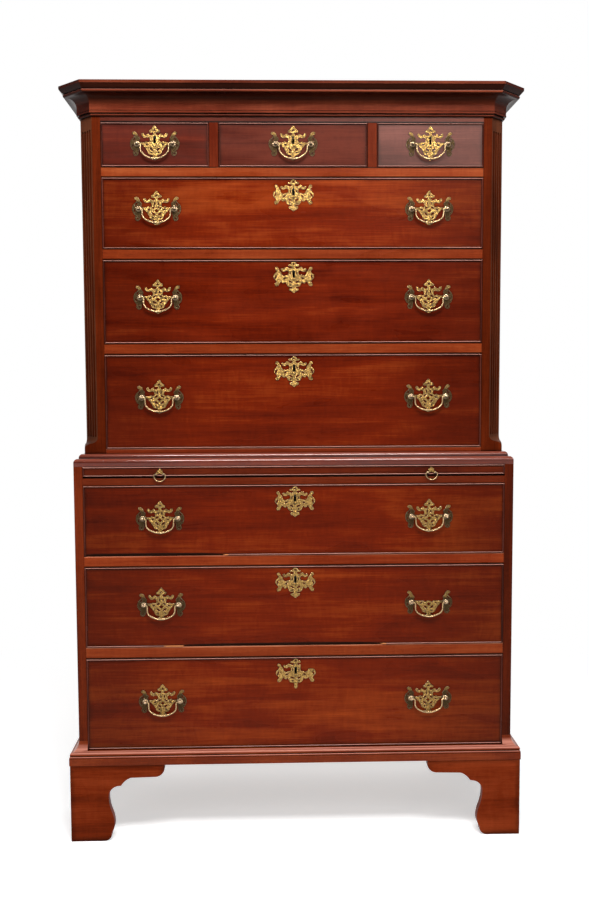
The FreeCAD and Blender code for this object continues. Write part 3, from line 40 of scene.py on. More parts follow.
class Recipe:
    """A material being put together, with short ways to add and join its nodes."""

    def __init__(self, name):
        self.material = bpy.data.materials.new(name)
        self.material.use_nodes = True
        self.tree = self.material.node_tree
        self.tree.nodes.clear()
        self.shader = self.node("BsdfPrincipled")
        output = self.node("OutputMaterial")
        self.tree.links.new(self.shader.outputs[0], output.inputs["Surface"])

    def node(self, kind, **settings):
        node = self.tree.nodes.new("ShaderNode" + kind)
        for key, value in settings.items():
            setattr(node, key, value)
        return node

    def join(self, value, socket):
        if isinstance(value, bpy.types.NodeSocket):
            self.tree.links.new(value, socket)
        else:
            socket.default_value = value

    def finish(self, **sockets):
        for name, value in sockets.items():
            self.join(value, self.shader.inputs[name.replace("_", " ")])
        return self.material

    def math(self, operation, *values):
        node = self.node("Math", operation=operation)
        for value, socket in zip(values, node.inputs):
            self.join(value, socket)
        return node.outputs[0]

    def vector(self, operation, *values):
        node = self.node("VectorMath", operation=operation)
        for value, socket in zip(values, node.inputs):
            self.join(value, socket)
        return node.outputs["Value" if operation == "LENGTH" else "Vector"]

    def attribute(self, name, output="Vector"):
        return self.node("Attribute", attribute_name=name).outputs[output]

    def place(self):
        """Where a point lies on the chest with everything shut, in metres."""
        return self.node("TexCoord").outputs["Object"]

    def normal(self):
        """Which way the surface faces, as x, y and z."""
        return self.split(self.node("NewGeometry").outputs["Normal"])

    def split(self, vector):
        node = self.node("SeparateXYZ")
        self.join(vector, node.inputs[0])
        return node.outputs

    def noise(self, vector, stretch, detail, roughness=0.5, distortion=0):
        node = self.node("TexNoise")
        self.join(self.vector("MULTIPLY", vector, stretch), node.inputs["Vector"])
        for name, value in (("Scale", 1), ("Detail", detail), ("Roughness", roughness),
                            ("Distortion", distortion)):
            node.inputs[name].default_value = value
        return node.outputs[0]

    def remap(self, value, low, high, to_low=0, to_high=1, smooth=True):
        node = self.node("MapRange", interpolation_type="SMOOTHSTEP" if smooth else "LINEAR")
        for item, socket in zip((value, low, high, to_low, to_high), node.inputs):
            self.join(item, socket)
        return node.outputs[0]

    def mix(self, factor, first, second):
        node = self.node("Mix", data_type="RGBA")
        for item, index in ((factor, 0), (first, 6), (second, 7)):
            self.join(item, node.inputs[index])
        return node.outputs[2]

    def ramp(self, factor, stops):
        node = self.node("ValToRGB")
        elements = node.color_ramp.elements
        while len(elements) < len(stops):
            elements.new(0.5)
        for element, (position, colour) in zip(elements, stops):
            element.position = position
            element.color = colour
        self.join(factor, node.inputs[0])
        return node.outputs[0]

    def dim(self, colour, factor):
        node = self.node("VectorMath", operation="SCALE")
        self.join(colour, node.inputs[0])
        self.join(factor, node.inputs[3])
        return node.outputs[0]

    def swing(self, pattern, weight):
        """How far a pattern is from its middle, times a weight."""
        return self.math("MULTIPLY", self.math("SUBTRACT", pattern, 0.5), weight)

    def sum(self, parts):
        """0.5 plus the swing of each pattern."""
        total = 0.5
        for pattern, weight in parts:
            total = self.math("ADD", total, self.swing(pattern, weight))
        return total

    def crevice(self, low, reach, shut, open_air):
        """Darker where the surface is shut in, painted shade with some dirt: low in a corner, 1 in
        the open.
        """
        node = self.node("AmbientOcclusion", samples=AO_SAMPLES)
        node.inputs["Distance"].default_value = reach
        return self.remap(node.outputs["AO"], shut, open_air, low, 1)

    def bump(self, height, depth, strength):
        node = self.node("Bump")
        node.inputs["Strength"].default_value = strength
        node.inputs["Distance"].default_value = depth
        self.join(height, node.inputs["Height"])
        return node.outputs[0]

    def mark(self, x, z, wide, tall):
        """A small ragged patch on the front, at a place on the shut chest."""
        px, _, pz = self.split(self.place())
        across = self.math("DIVIDE", self.math("SUBTRACT", px, x), wide / 2)
        up = self.math("DIVIDE", self.math("SUBTRACT", pz, z), tall / 2)
        far = self.math("SQRT", self.math("ADD", self.math("POWER", across, 2),
                                          self.math("POWER", up, 2)))
        ragged = self.math("MULTIPLY", self.noise(self.place(), *RAGGED), RAGGED_SHARE)
        return self.remap(self.math("ADD", far, ragged), *RAGGED_EDGE)


# ---------------------------------------------------------------- timber

# Patterns along the grain: weight in the colour, changes per metre along it and both ways across
# it, then detail, roughness and swirl.
FIGURE = {
    "bands": (1.1, (1.3, 13, 13), 3, 0.5, 1.2),
    "cloud": (0.7, (5, 16, 16), 2, 0.5, 0.8),
    "mottle": (0.25, (60, 16, 16), 2, 0.5, 1.5),
    "streaks": (0.6, (2.6, 90, 90), 4, 0.62, 0.5),
    "hairs": (0.5, (14, 520, 520), 2),
}
TONE_WEIGHT = 0.45
SHADE_STOPS = (0.1, 0.5, 0.9)

# Pores, which are short dark dashes along the grain
PORES = ((60, 1500, 1500), 1)   # changes per metre, and detail
PORE_EDGE = (0.6, 0.7)          # levels of the pattern where a pore starts and is full
PORE_SHADE = 0.72               # its colour against the rest

# Rims of a front, and its darker ends, which are painted shade of the light falling off
RIM_START = 0.002               # metres from the edge where the rim is darkest
RIM_WANDER = 0.012              # metres that the cloud moves the rim, all in all
END_REACH = (0.35, 1)           # shares of the half length where the dark ends start and are full
END_WANDER = 0.6                # share of the half length that the bands move them, all in all

# Limits on the surface's normal for the painted light by facing: its y for what looks ahead,
# its z for the rest
FACE_TURN = (-0.8, -0.95)
UNDER_TURN = (-0.75, 0)
OVER_TURN = (0.15, 0.6)         # where a rounded edge starts to get its painted highlight
FLAT_TURN = (0.99, 0.95)        # the flat top beside it gets none
HIGHLIGHT_WEAR = (0.3, 0.6, 0.6, 1)  # levels of the streaks, and how strong the painted highlight is there

# Painted bands, in metres: painted shade in a lost bead's rebate, and the brow, a painted shadow
# line or highlight
REBATE_FRONT = (0.0009, 0.0014)     # behind the front's face
REBATE_BACK = (0.009, 0.0085)
BROW_END = (0.003, 0.0016)          # below the head of its piece
BROW_CLOUD = (0.35, 0.6, 0.3, 0.9)   # levels of the cloud, and how strong the brow is there

# Dirt and painted shade in corners, painted shade alone in creases: how far the darkening reaches
# from a corner in metres, and the openness where it is full and gone
CORNER_DIRT_AND_SHADE = (0.02, 0.45, 0.97)
CREASE_SHADE = (0.005, 0.5, 0.95)

# Polish
POLISH_CLOUD = (0.3, 0.7)       # levels of the cloud where it is smoothest and roughest
POLISH_SPREAD = (-0.04, 0.06)   # what that adds to the roughness
RELIEF = {"streaks": 0.5, "hairs": 0.5, "pores": 0.8}
GRAIN_RELIEF = (0.0002, 0.4)    # depth in metres, and strength

# Colour of the gloss
RED_GLOSS = (1, 0.5, 0.35, 1)
ROSE_GLOSS = (1, 0.7, 0.6, 1)
BARE_GLOSS = (1, 0.9, 0.8, 1)


def timber(r, shades, figure):
    """Colour along the grain between three shades, and the patterns that it is made of."""
    grain = r.attribute("grain")
    parts = {part: r.noise(grain, *shape) for part, (_, *shape) in FIGURE.items()}
    weights = [(parts[part], weight * figure) for part, (weight, *_) in FIGURE.items()]
    level = r.sum([*weights, (r.attribute("tone", "Fac"), TONE_WEIGHT)])
    colour = r.ramp(level, [(stop, srgb(*shade)) for stop, shade in zip(SHADE_STOPS, shades)])
    parts["pores"] = r.remap(r.noise(grain, *PORES), *PORE_EDGE, 1, PORE_SHADE)
    return r.dim(colour, parts["pores"]), parts


def shade_edges(r, colour, parts, rim, ends):
    """Darker edges of a front, and darker ends as painted shade, each with a wandering limit."""
    local, half = r.attribute("local"), r.attribute("half")
    if rim:
        shade, reach = rim
        x, _, z = r.split(r.vector("SUBTRACT", half, r.vector("ABSOLUTE", local)))
        edge = r.math("ADD", r.math("MINIMUM", x, z), r.swing(parts["cloud"], RIM_WANDER))
        colour = r.dim(colour, r.remap(edge, RIM_START, reach, shade, 1))
    if ends:
        along = r.split(r.vector("ABSOLUTE", r.vector("DIVIDE", local, half)))[0]
        along = r.math("ADD", along, r.swing(parts["bands"], END_WANDER))
        colour = r.dim(colour, r.remap(along, *END_REACH, 1, ends))
    return colour


def tint_by_facing(r, colour, parts, face, under, over):
    """Painted light by the way the surface faces: another tint where it looks ahead, painted shade
    where it faces the floor, and a painted highlight, broken up like wear, where a rounded edge faces
    up.
    """
    _, ahead, upward = r.normal()
    if face:
        colour = r.mix(r.remap(ahead, *FACE_TURN), colour, r.vector("MULTIPLY", colour, face))
    if under:
        colour = r.dim(colour, r.remap(upward, *UNDER_TURN, under, 1))
    if over:
        rounded = r.math("MULTIPLY", r.remap(upward, *OVER_TURN), r.remap(upward, *FLAT_TURN))
        rubbed_and_lit = r.math("MULTIPLY", rounded, r.remap(parts["streaks"], *HIGHLIGHT_WEAR))
        colour = r.mix(rubbed_and_lit, colour, srgb(*over))
    return colour


def paint_bands(r, colour, parts, slot, strip, brow):
    """Painted bands at a depth or a height on the piece: painted shade in its rebate, a darker foot
    or head, and its brow, which is a painted shadow line or highlight.
    """
    local, half = r.attribute("local"), r.attribute("half")
    _, behind, above = r.split(r.vector("ADD", local, half))
    if slot:
        rebate = r.math("MULTIPLY", r.remap(behind, *REBATE_FRONT), r.remap(behind, *REBATE_BACK))
        colour = r.dim(colour, r.remap(rebate, 0, 1, 1, slot))
    if strip:
        colour = r.dim(colour, r.remap(above, *strip))
    if brow:
        below = r.split(r.vector("SUBTRACT", half, local))[2]
        top = r.math("MULTIPLY", r.remap(below, *BROW_END), r.remap(parts["cloud"], *BROW_CLOUD))
        colour = r.mix(top, colour, srgb(*brow))
    return colour


def wood(name, *shades, figure=1, rim=None, ends=None, under=None, over=None, slot=None, face=None,
         strip=None, brow=None, corner_dirt_and_shade=0.45, crease=None, rough=0.3, gloss=0.12, marks=(), mark_colour=None,
         tint=RED_GLOSS):
    """Polished or bare wood: broad bands, mottle and streaks along the grain, and dirt with painted
    shade in corners.

    shades are its dark, middle and light colour, and figure is how strongly it is marked.
    rim is how dark the edges of a front are and how far that reaches inward, ends how dark its
    ends are (painted shade), under how dark the surfaces that face the floor are (painted shade),
    over the colour of edges that face up (a painted highlight), slot how dark the rebate is where a
    bead is lost (painted shade), face how the colour of a surface that looks straight ahead differs
    from the rest (painted light), strip between which heights above its foot the piece changes and
    how dark it is below and above, brow the colour of its highest strip (a painted shadow line or
    highlight), corner_dirt_and_shade and crease how dark wide and narrow corners are (painted
    shade, with dirt in the wide ones), and mark_colour the colour of marks.
    """
    r = Recipe(name)
    colour, parts = timber(r, shades, figure)
    if rim or ends:
        colour = shade_edges(r, colour, parts, rim, ends)
    if face or under or over:
        colour = tint_by_facing(r, colour, parts, face, under, over)
    if slot or strip or brow:
        colour = paint_bands(r, colour, parts, slot, strip, brow)
    # Darker in wide corners (dirt and painted shade) and in narrow creases (painted shade)
    colour = r.dim(colour, r.crevice(corner_dirt_and_shade, *CORNER_DIRT_AND_SHADE))
    if crease:
        colour = r.dim(colour, r.crevice(crease, *CREASE_SHADE))
    for place in marks:
        colour = r.mix(r.mark(*place), colour, srgb(*mark_colour))
    relief = r.sum([(parts[part], weight) for part, weight in RELIEF.items()])
    smoother, rougher = (rough + change for change in POLISH_SPREAD)
    return r.finish(Base_Color=colour,
                    Roughness=r.remap(parts["cloud"], *POLISH_CLOUD, smoother, rougher),
                    Specular_IOR_Level=gloss, Specular_Tint=tint,
                    Normal=r.bump(relief, *GRAIN_RELIEF))


# ---------------------------------------------------------------- brass

# Patterns: changes per metre, detail and roughness
PATCHES = ((260, 260, 260), 3, 0.6)
SPECKS = ((800, 800, 800), 2)
TARNISH_WEIGHTS = (2.2, 0.8)    # of patches and specks
TARNISH_LEVELS = (0.2, 0.8)     # between which it clears
TARNISH_ROUGHNESS = 0.25        # what full tarnish adds
RELIEF_WEIGHTS = (1, 0.5)       # of patches and specks
CASTING_RELIEF = (0.002, 0.9)   # depth in metres, and strength

# Brown wings from tarnish, with a brighter curl at their head, which is a painted highlight
WING_BROWN = 0.96               # the most brown
WING_WANDER = 0.006             # metres that the patches move its limit
CURL_HEIGHT = (0.016, 0.024)    # metres above the plate's middle where the curl starts and is full
CURL_WANDER = 0.004             # metres that the specks move that
CURL_BROWN = 0.6                # share of the brown that it keeps

# Limits on the surface's normal: its y for edges that are worn bright and get a painted highlight,
# its z for the painted shade below
RUBBED_AND_LIT_TURN = (-0.97, -0.8)
RUBBED_AND_LIT_LEFT = 0.4               # how much of the edge's wear and painted highlight is left on tarnished metal
DARK_BELOW = (-0.6, 0.25)

# Dirt and painted shade in the piercings and near other parts: how dark, how far it reaches in
# metres, and the openness where it is full and gone
PIERCING_DIRT_AND_SHADE = (0.3, 0.003, 0.4, 0.9)
PLATE_DIRT_AND_SHADE = (0.35, 0.02, 0.3, 0.75)


def brass(name, bright, dull, tarnish, rubbed_and_lit=None, wings=None, rough=0.24, under=None):
    """Old brass: edges bright from wear and a painted highlight, piercings darker, wings brown.

    tarnish is how dull its dullest patches are, rubbed_and_lit the colour of its edges (wear with a
    painted highlight), wings where the brown starts and is full from the middle outward, and under
    how dark it is from below (painted shade). Piercings and places near other parts are darker from
    dirt and painted shade.
    """
    r = Recipe(name)
    patches, specks = r.noise(r.place(), *PATCHES), r.noise(r.place(), *SPECKS)
    worn = r.remap(r.sum(zip((patches, specks), TARNISH_WEIGHTS)), *TARNISH_LEVELS, tarnish, 0)
    if wings:
        x, _, z = r.split(r.attribute("local"))
        outward = r.math("ADD", r.math("ABSOLUTE", x), r.math("MULTIPLY", patches, WING_WANDER))
        height = r.math("ADD", z, r.math("MULTIPLY", specks, CURL_WANDER))
        # The curl at the wing's head keeps less of the brown: a painted highlight
        curl = r.remap(height, *CURL_HEIGHT, 1, CURL_BROWN)
        tarnished = r.math("MULTIPLY", r.remap(outward, *wings, 0, WING_BROWN), curl)
        worn = r.math("MAXIMUM", worn, tarnished)
    colour = r.mix(worn, srgb(*bright), srgb(*dull))
    # Edges lighter: wear with a painted highlight, less of it where tarnished
    if rubbed_and_lit:
        ahead = r.normal()[1]
        edge = r.math("MULTIPLY", r.remap(ahead, *RUBBED_AND_LIT_TURN), r.remap(worn, 0, 1, 1, RUBBED_AND_LIT_LEFT))
        colour = r.mix(edge, colour, srgb(*rubbed_and_lit))
    # Darker from below: painted shade
    if under:
        colour = r.dim(colour, r.remap(r.normal()[2], *DARK_BELOW, under, 1))
    # Darker in the piercings and near other parts: dirt and painted shade
    for dirt in (PIERCING_DIRT_AND_SHADE, PLATE_DIRT_AND_SHADE):
        colour = r.dim(colour, r.crevice(*dirt))
    return r.finish(Base_Color=colour, Metallic=1.0,
                    Roughness=r.remap(worn, 0, 1, rough, rough + TARNISH_ROUGHNESS),
                    Normal=r.bump(r.sum(zip((patches, specks), RELIEF_WEIGHTS)), *CASTING_RELIEF))


# ---------------------------------------------------------------- the looks

# Patches on the shut chest: x and z of the middle, width and height, in metres. The first three
# are the pale ends of the beads that broke away, the third also a painted highlight, then a chip,
# then the dark lost stretches, which are painted shadow along the front's lower edge.
FIRST_BREAK = (-0.170, 0.7074, 0.014, 0.008)
SECOND_SPLIT = (-0.297, 0.4820, 0.05, 0.009)
SECOND_END = (0.216, 0.4820, 0.016, 0.008)
THIRD_CHIP = (0.478, 0.317, 0.007, 0.009)
FIRST_GAP_SHADOW = (-0.35, 0.7104, 0.37, 0.0056)
SECOND_GAP_SHADOW = (-0.03, 0.4850, 0.54, 0.0056)

# Strips: the heights above the foot of a piece where it changes, and how dark it is below and above.
# The rails' dark foot is a painted shadow line over each drawer, and the cornice's darker head
# takes back part of its painted highlight.
RAIL_FOOT = (0.0024, 0.004, 0.2, 1)
TOP_RAIL_FOOT = (0.0024, 0.004, 0.1, 1)
CORNICE_HEAD = (0.05, 0.053, 1, 0.75)

LOOKS = {
    # Its darker ends, the darker rebate and the dark marks are painted shade
    "front": wood("mahogany_front", (72, 10, 1), (108, 27, 3), (150, 60, 18), figure=0.85,
                  rim=(0.72, 0.013), ends=0.64, slot=0.06, crease=0.4, gloss=0.2,
                  tint=(1, 0.52, 0.36, 1), marks=(FIRST_GAP_SHADOW, SECOND_GAP_SHADOW), mark_colour=(16, 4, 2)),
    "small_left": wood("mahogany_small_left", (60, 15, 5), (84, 22, 8), (108, 38, 18),
                       crease=0.4, rim=(0.7, 0.012), gloss=0.25, rough=0.34, tint=ROSE_GLOSS),
    "small_middle": wood("mahogany_small_middle", (46, 9, 3), (67, 17, 8), (92, 34, 19),
                         crease=0.4, rim=(0.7, 0.012), gloss=0.2, rough=0.34, tint=ROSE_GLOSS),
    # Paler and pinker than the other two: its own tone with a painted sheen
    "small_right": wood("mahogany_small_right", (66, 28, 20), (88, 42, 33), (112, 60, 50),
                        crease=0.4, rim=(0.7, 0.012), gloss=0.46, rough=0.34, tint=(1, 0.78, 0.7, 1)),
    # Rails: the dark foot is a painted shadow line over each drawer, the dark brow a painted shadow
    # line, and the pale brow and pale tops a painted highlight
    "upper_rail": wood("mahogany_upper_rail", (98, 29, 9), (130, 50, 19), (154, 74, 36), figure=0.9,
                       corner_dirt_and_shade=0.8, crease=0.5, gloss=0.2, strip=RAIL_FOOT, brow=(38, 9, 3)),
    "pale_rail": wood("mahogany_pale_rail", (100, 30, 10), (132, 51, 20), (156, 75, 37), figure=0.9,
                      corner_dirt_and_shade=0.8, crease=0.5, gloss=0.2, strip=RAIL_FOOT, brow=(206, 128, 94),
                      over=(206, 128, 94)),
    "top_rail": wood("mahogany_top_rail", (66, 20, 9), (86, 31, 17), (108, 48, 31), corner_dirt_and_shade=0.8,
                     crease=0.5, strip=TOP_RAIL_FOOT, gloss=0.4, tint=(1, 0.74, 0.66, 1)),
    "rail": wood("mahogany_rail", (94, 24, 6), (124, 42, 14), (152, 64, 28), corner_dirt_and_shade=0.85, crease=0.5,
                 gloss=0.2, strip=RAIL_FOOT, brow=(190, 110, 80), over=(190, 110, 80)),
    "divider": wood("mahogany_divider", (84, 24, 9), (110, 40, 18), (134, 58, 30), crease=0.4),
    # Pale tops are a painted highlight and dark undersides painted shade; the marks are pale broken
    # wood, one of them also a painted highlight
    "bead": wood("mahogany_bead", (52, 20, 14), (78, 34, 26), (104, 52, 42), corner_dirt_and_shade=0.7, crease=0.6,
                 over=(214, 156, 140), under=0.15, rough=0.24, gloss=0.15, tint=ROSE_GLOSS,
                 marks=(FIRST_BREAK, SECOND_SPLIT, SECOND_END, THIRD_CHIP), mark_colour=(206, 132, 80)),
    # Flats that look ahead are redder and darker than the cants: painted light
    "corner": wood("mahogany_corner", (56, 26, 12), (80, 40, 22), (104, 56, 34), crease=0.4,
                   rough=0.4, face=(0.95, 0.42, 0.2), gloss=0.04),
    # Faces that look ahead are lighter, a painted highlight; undersides darker, painted shade; pale
    # edges facing up a painted highlight
    "cornice": wood("mahogany_cornice", (44, 11, 4), (72, 22, 9), (102, 40, 20), crease=0.3,
                    gloss=0.1, under=0.32, over=(176, 112, 96), face=(1.75, 2.2, 2.8),
                    strip=CORNICE_HEAD),
    # Mouldings: pale edges facing up are a painted highlight, undersides painted shade
    "moulding": wood("mahogany_moulding", (72, 20, 8), (100, 33, 14), (126, 52, 28), crease=0.4,
                     corner_dirt_and_shade=0.6, rough=0.15, gloss=0.7, under=0.4, over=(132, 66, 50),
                     tint=(1, 0.84, 0.8, 1)),
    "base": wood("mahogany_base", (76, 22, 7), (108, 36, 12), (136, 57, 25), crease=0.4,
                 corner_dirt_and_shade=0.6, rough=0.2, gloss=0.25, under=0.4, over=(200, 128, 108)),
    # Faces that look ahead are lighter: painted light
    "side": wood("mahogany_side", (48, 12, 4), (70, 22, 8), (96, 37, 17), face=(1.5, 1.3, 1.0)),
    "foot": wood("mahogany_foot", (86, 26, 7), (116, 39, 12), (142, 57, 25), rim=(0.65, 0.014),
                 gloss=0.06),
    "slide": wood("mahogany_slide", (66, 17, 6), (92, 29, 9), (116, 44, 19), crease=0.5, gloss=0.2),
    "oak": wood("oak_lining", (138, 98, 62), (172, 130, 88), (196, 158, 112), rough=0.7,
                corner_dirt_and_shade=0.7, tint=BARE_GLOSS),
    "pine": wood("pine_carcass", (108, 70, 42), (146, 100, 62), (172, 124, 80), rough=0.75,
                 corner_dirt_and_shade=0.6, tint=BARE_GLOSS),
    # Edges bright from wear with a painted highlight; the plates' wings brown from tarnish
    "plate": brass("brass_plate", (204, 162, 92), (64, 50, 34), 0.8, rubbed_and_lit=(250, 224, 180),
                   wings=(0.031, 0.038)),
    "escutcheon": brass("brass_escutcheon", (204, 162, 92), (96, 72, 44), 0.8,
                        rubbed_and_lit=(250, 224, 180)),
    # Darker from below: painted shade
    "bail": brass("brass_bail", (240, 204, 152), (130, 98, 66), 0.4, under=0.3),
    "post": brass("brass_post", (240, 206, 166), (96, 74, 54), 0.4, under=0.12),
    "lock": brass("iron_lock", (96, 88, 80), (44, 34, 28), 0.9, rough=0.5),
}

# How light a solid is in its look, from 0 to 1
FRONT_TONES = {"upper_first": 0.62, "upper_second": 0.3, "upper_third": 0.3, "lower_first": 0.42,
               "lower_second": 0.4, "lower_third": 0.65}
# The left side is lighter than the right: painted light from the left
LEFT_SIDE_TONE = 0.9
RIGHT_SIDE_TONE = 0.0
RAIL_TONE = 0.5

# Height that a rail's foot is above, in metres, and its look then: the top rail, the ones between
# the upper drawers, the upper case's lowest, the one under the slide, and the two between the
# lower drawers. The lowest of all is a plain rail.
RAIL_LOOKS = ((1.65, "top_rail"), (0.95, "upper_rail"), (0.9, "rail"), (0.85, "slide"),
              (0.6, "rail"), (0.4, "pale_rail"))

# Sizes in metres that tell the solids of one node apart
BEAD_HEIGHT = 0.05      # a bead is lower than this
BEAD_WIDTH = 0.2        # or narrower than this, and a front is neither
DRAWER_BOTTOM = 0.01    # a drawer's bottom is thinner, its sides and back are higher
CASTING_DEPTH = 0.01    # locks and posts are deeper than plates
LOCK_WIDTH = 0.05       # locks are wider than posts
PLATE_WIDTH = 0.11      # pull plates are wider than escutcheons
SHEET_DEPTH = 0.002     # escutcheons are thinner than nuts
SLIDE_BEAD = 0.004      # the slide's bead is thinner than its boards
FOOT_BLOCK = 0.05       # blocks in the feet are narrower than the brackets
GLUE_BLOCK = 0.075      # blocks behind the cornice are shorter than its lengths
STOP_BLOCK = 0.045      # drawer stops are smaller than rails


def front_look(node, wide, tall):
    if tall < BEAD_HEIGHT or wide < BEAD_WIDTH:
        return "bead"
    if node.startswith("top_"):
        return node.replace("top_", "small_").replace("_drawer_front", "")
    return "front"


def brass_look(wide, deep):
    if deep > CASTING_DEPTH:
        return "lock" if wide > LOCK_WIDTH else "post"
    if wide > PLATE_WIDTH:
        return "plate"
    return "escutcheon" if deep < SHEET_DEPTH else "post"


def rail_look(wide, tall, foot):
    if tall > wide:
        return "divider"
    return next((look for level, look in RAIL_LOOKS if foot > level), "rail")


def look_of(node, size, foot):
    """Which look one solid of a node takes, from its size and the height of its foot in metres."""
    wide, deep, tall = size
    if node.endswith("_drawer_front"):
        return front_look(node, wide, tall)
    if node.endswith("_drawer_box"):
        return "pine" if tall < DRAWER_BOTTOM else "oak"
    if "_bail" in node:
        return "bail"
    if node.endswith("_drawer_brass") or node == "slide_fittings":
        return brass_look(wide, deep)
    if node == "slide_board":
        return "bead" if min(wide, tall) < SLIDE_BEAD else "slide"
    if node.endswith("_feet"):
        return "pine" if max(wide, deep) < FOOT_BLOCK else "foot"
    if node == "cornice":
        return "pine" if max(size) < GLUE_BLOCK else "cornice"
    if node.endswith("_rails"):
        return "pine" if max(size) < STOP_BLOCK else rail_look(wide, tall, foot)
    if node.endswith("_sides"):
        return "side"
    return {"canted_corners": "corner", "waist_moulding": "moulding",
            "base_moulding": "base"}.get(node, "pine")


def tone_of(node, look, left, drawn):
    """How light one solid is: set for the fronts, the sides and the rails, and drawn for the rest."""
    if look == "front":
        return FRONT_TONES[node.replace("_drawer_front", "")]
    if look == "side":
        return LEFT_SIDE_TONE if left < 0 else RIGHT_SIDE_TONE
    return RAIL_TONE if "rail" in look else drawn


# ---------------------------------------------------------------- pieces of each node

SAME_PLACE = 2e-5       # metres within which two vertices of one solid are one
GRAIN_SHIFT = 8         # metres: each solid is cut from another place in the timber
PULLED_APART = 0.02     # metres that solids are moved apart while each is welded by itself


def closed_parts(triangles):
    """Number each triangle by the closed surface that it is in, taking them in the mesh's order."""
    numbers, number, unmatched = [], 0, set()
    for a, b, c in triangles:
        numbers.append(number)
        for start, end in ((a, b), (b, c), (c, a)):
            if (end, start) in unmatched:
                unmatched.discard((end, start))
            elif start != end:
                unmatched.add((start, end))
        if not unmatched:
            number += 1
    return numbers


def read(items, field, kind, width=1):
    """One field of all of a mesh's items as an array."""
    values = np.empty(len(items) * width, kind)
    items.foreach_get(field, values)
    return values


def islands(mesh):
    """Place of each vertex, label of the solid that it belongs to, and how many solids there are."""
    co = read(mesh.vertices, "co", float, 3).reshape(-1, 3)
    cells = np.round(co / SAME_PLACE).astype(np.int64)
    _, merged = np.unique(cells, axis=0, return_inverse=True)
    used = read(mesh.loops, "vertex_index", np.int32)
    part = np.zeros(len(co), np.int64)
    part[used] = np.repeat(closed_parts(merged.ravel()[used].reshape(-1, 3).tolist()), 3)
    _, merged = np.unique(np.column_stack((cells, part)), axis=0, return_inverse=True)
    merged = merged.ravel()
    edges = merged[read(mesh.edges, "vertices", np.int32, 2)]
    a, b = edges[::2], edges[1::2]
    label = np.arange(merged.max() + 1)
    while True:
        low = np.minimum(label[a], label[b])
        new = label.copy()
        for place in (a, b, label[a], label[b]):
            np.minimum.at(new, place, low)
        new = new[new]
        if (new == label).all():
            break
        label = new
    _, own = np.unique(label[merged], return_inverse=True)
    return co, own.ravel(), own.max() + 1


def put(mesh, name, kind, values):
    layer = mesh.attributes.new(name, kind, "POINT")
    field = "vector" if kind == "FLOAT_VECTOR" else "value"
    layer.data.foreach_set(field, np.asarray(values, np.float32).ravel())


def paint(mesh, own, looks):
    """Give each solid its look."""
    used = sorted(set(looks))
    mesh.materials.clear()
    for look in used:
        mesh.materials.append(LOOKS[look])
    slot = np.array([used.index(look) for look in looks])
    first = read(mesh.polygons, "loop_start", np.int32)
    corner = read(mesh.loops, "vertex_index", np.int32)
    mesh.polygons.foreach_set("material_index", slot[own[corner[first]]])


def dress(obj, seed):
    """Each solid gets its look, its own grain direction, place, size and tone."""
    mesh = obj.data
    rng = np.random.default_rng(seed)
    co, own, count = islands(mesh)
    grain, local, half, apart = (np.zeros_like(co) for _ in range(4))
    tone = np.zeros(len(co))
    looks = []
    for i in range(count):
        mine = own == i
        low, high = co[mine].min(0), co[mine].max(0)
        size = high - low
        longest_first = np.argsort(-size, kind="stable")
        grain[mine] = co[mine][:, longest_first] + rng.uniform(-GRAIN_SHIFT, GRAIN_SHIFT, 3)
        local[mine] = co[mine] - (low + high) / 2
        half[mine] = size / 2
        apart[mine] = rng.uniform(-PULLED_APART, PULLED_APART, 3)
        looks.append(look_of(obj.name, size, low[2]))
        tone[mine] = tone_of(obj.name, looks[-1], low[0], rng.uniform())
    for name, values in (("grain", grain), ("local", local), ("half", half), ("apart", apart)):
        put(mesh, name, "FLOAT_VECTOR", values)
    put(mesh, "tone", "FLOAT", tone)
    paint(mesh, own, looks)


def welding():
    """Node group that joins each solid's own split vertices, and never two solids that touch."""
    group = bpy.data.node_groups.new("weld_each_solid", "GeometryNodeTree")
    for direction in ("INPUT", "OUTPUT"):
        group.interface.new_socket("Geometry", in_out=direction, socket_type="NodeSocketGeometry")
    node, link = group.nodes.new, group.links.new
    start, end = node("NodeGroupInput"), node("NodeGroupOutput")
    apart = node("GeometryNodeInputNamedAttribute")
    apart.data_type = "FLOAT_VECTOR"
    apart.inputs["Name"].default_value = "apart"
    back = node("ShaderNodeVectorMath")
    back.operation = "SCALE"
    back.inputs[3].default_value = -1
    link(apart.outputs[0], back.inputs[0])
    away, home = node("GeometryNodeSetPosition"), node("GeometryNodeSetPosition")
    merge = node("GeometryNodeMergeByDistance")
    merge.inputs["Distance"].default_value = SAME_PLACE
    link(start.outputs[0], away.inputs["Geometry"])
    link(apart.outputs[0], away.inputs["Offset"])
    link(away.outputs[0], merge.inputs["Geometry"])
    link(merge.outputs[0], home.inputs["Geometry"])
    link(back.outputs[0], home.inputs["Offset"])
    link(home.outputs[0], end.inputs[0])
    return group


WELD = welding()
# Width in millimetres of the small rounds along a node's arrises, by the end of its name.
SOFTENED = {"_drawer_front": 0.5, "_drawer_brass": 0.5, "slide_fittings": 0.3, "slide_board": 0.4,
            "_sides": 0.9, "_rails": 0.7, "canted_corners": 0.8, "cornice": 0.5, "_moulding": 0.5,
            "_feet": 1.3, "_drawer_box": 0.5, "_boards": 0.5, "_back": 0.6}
ROUND_SEGMENTS, ARRIS_DEGREES = 2, 40


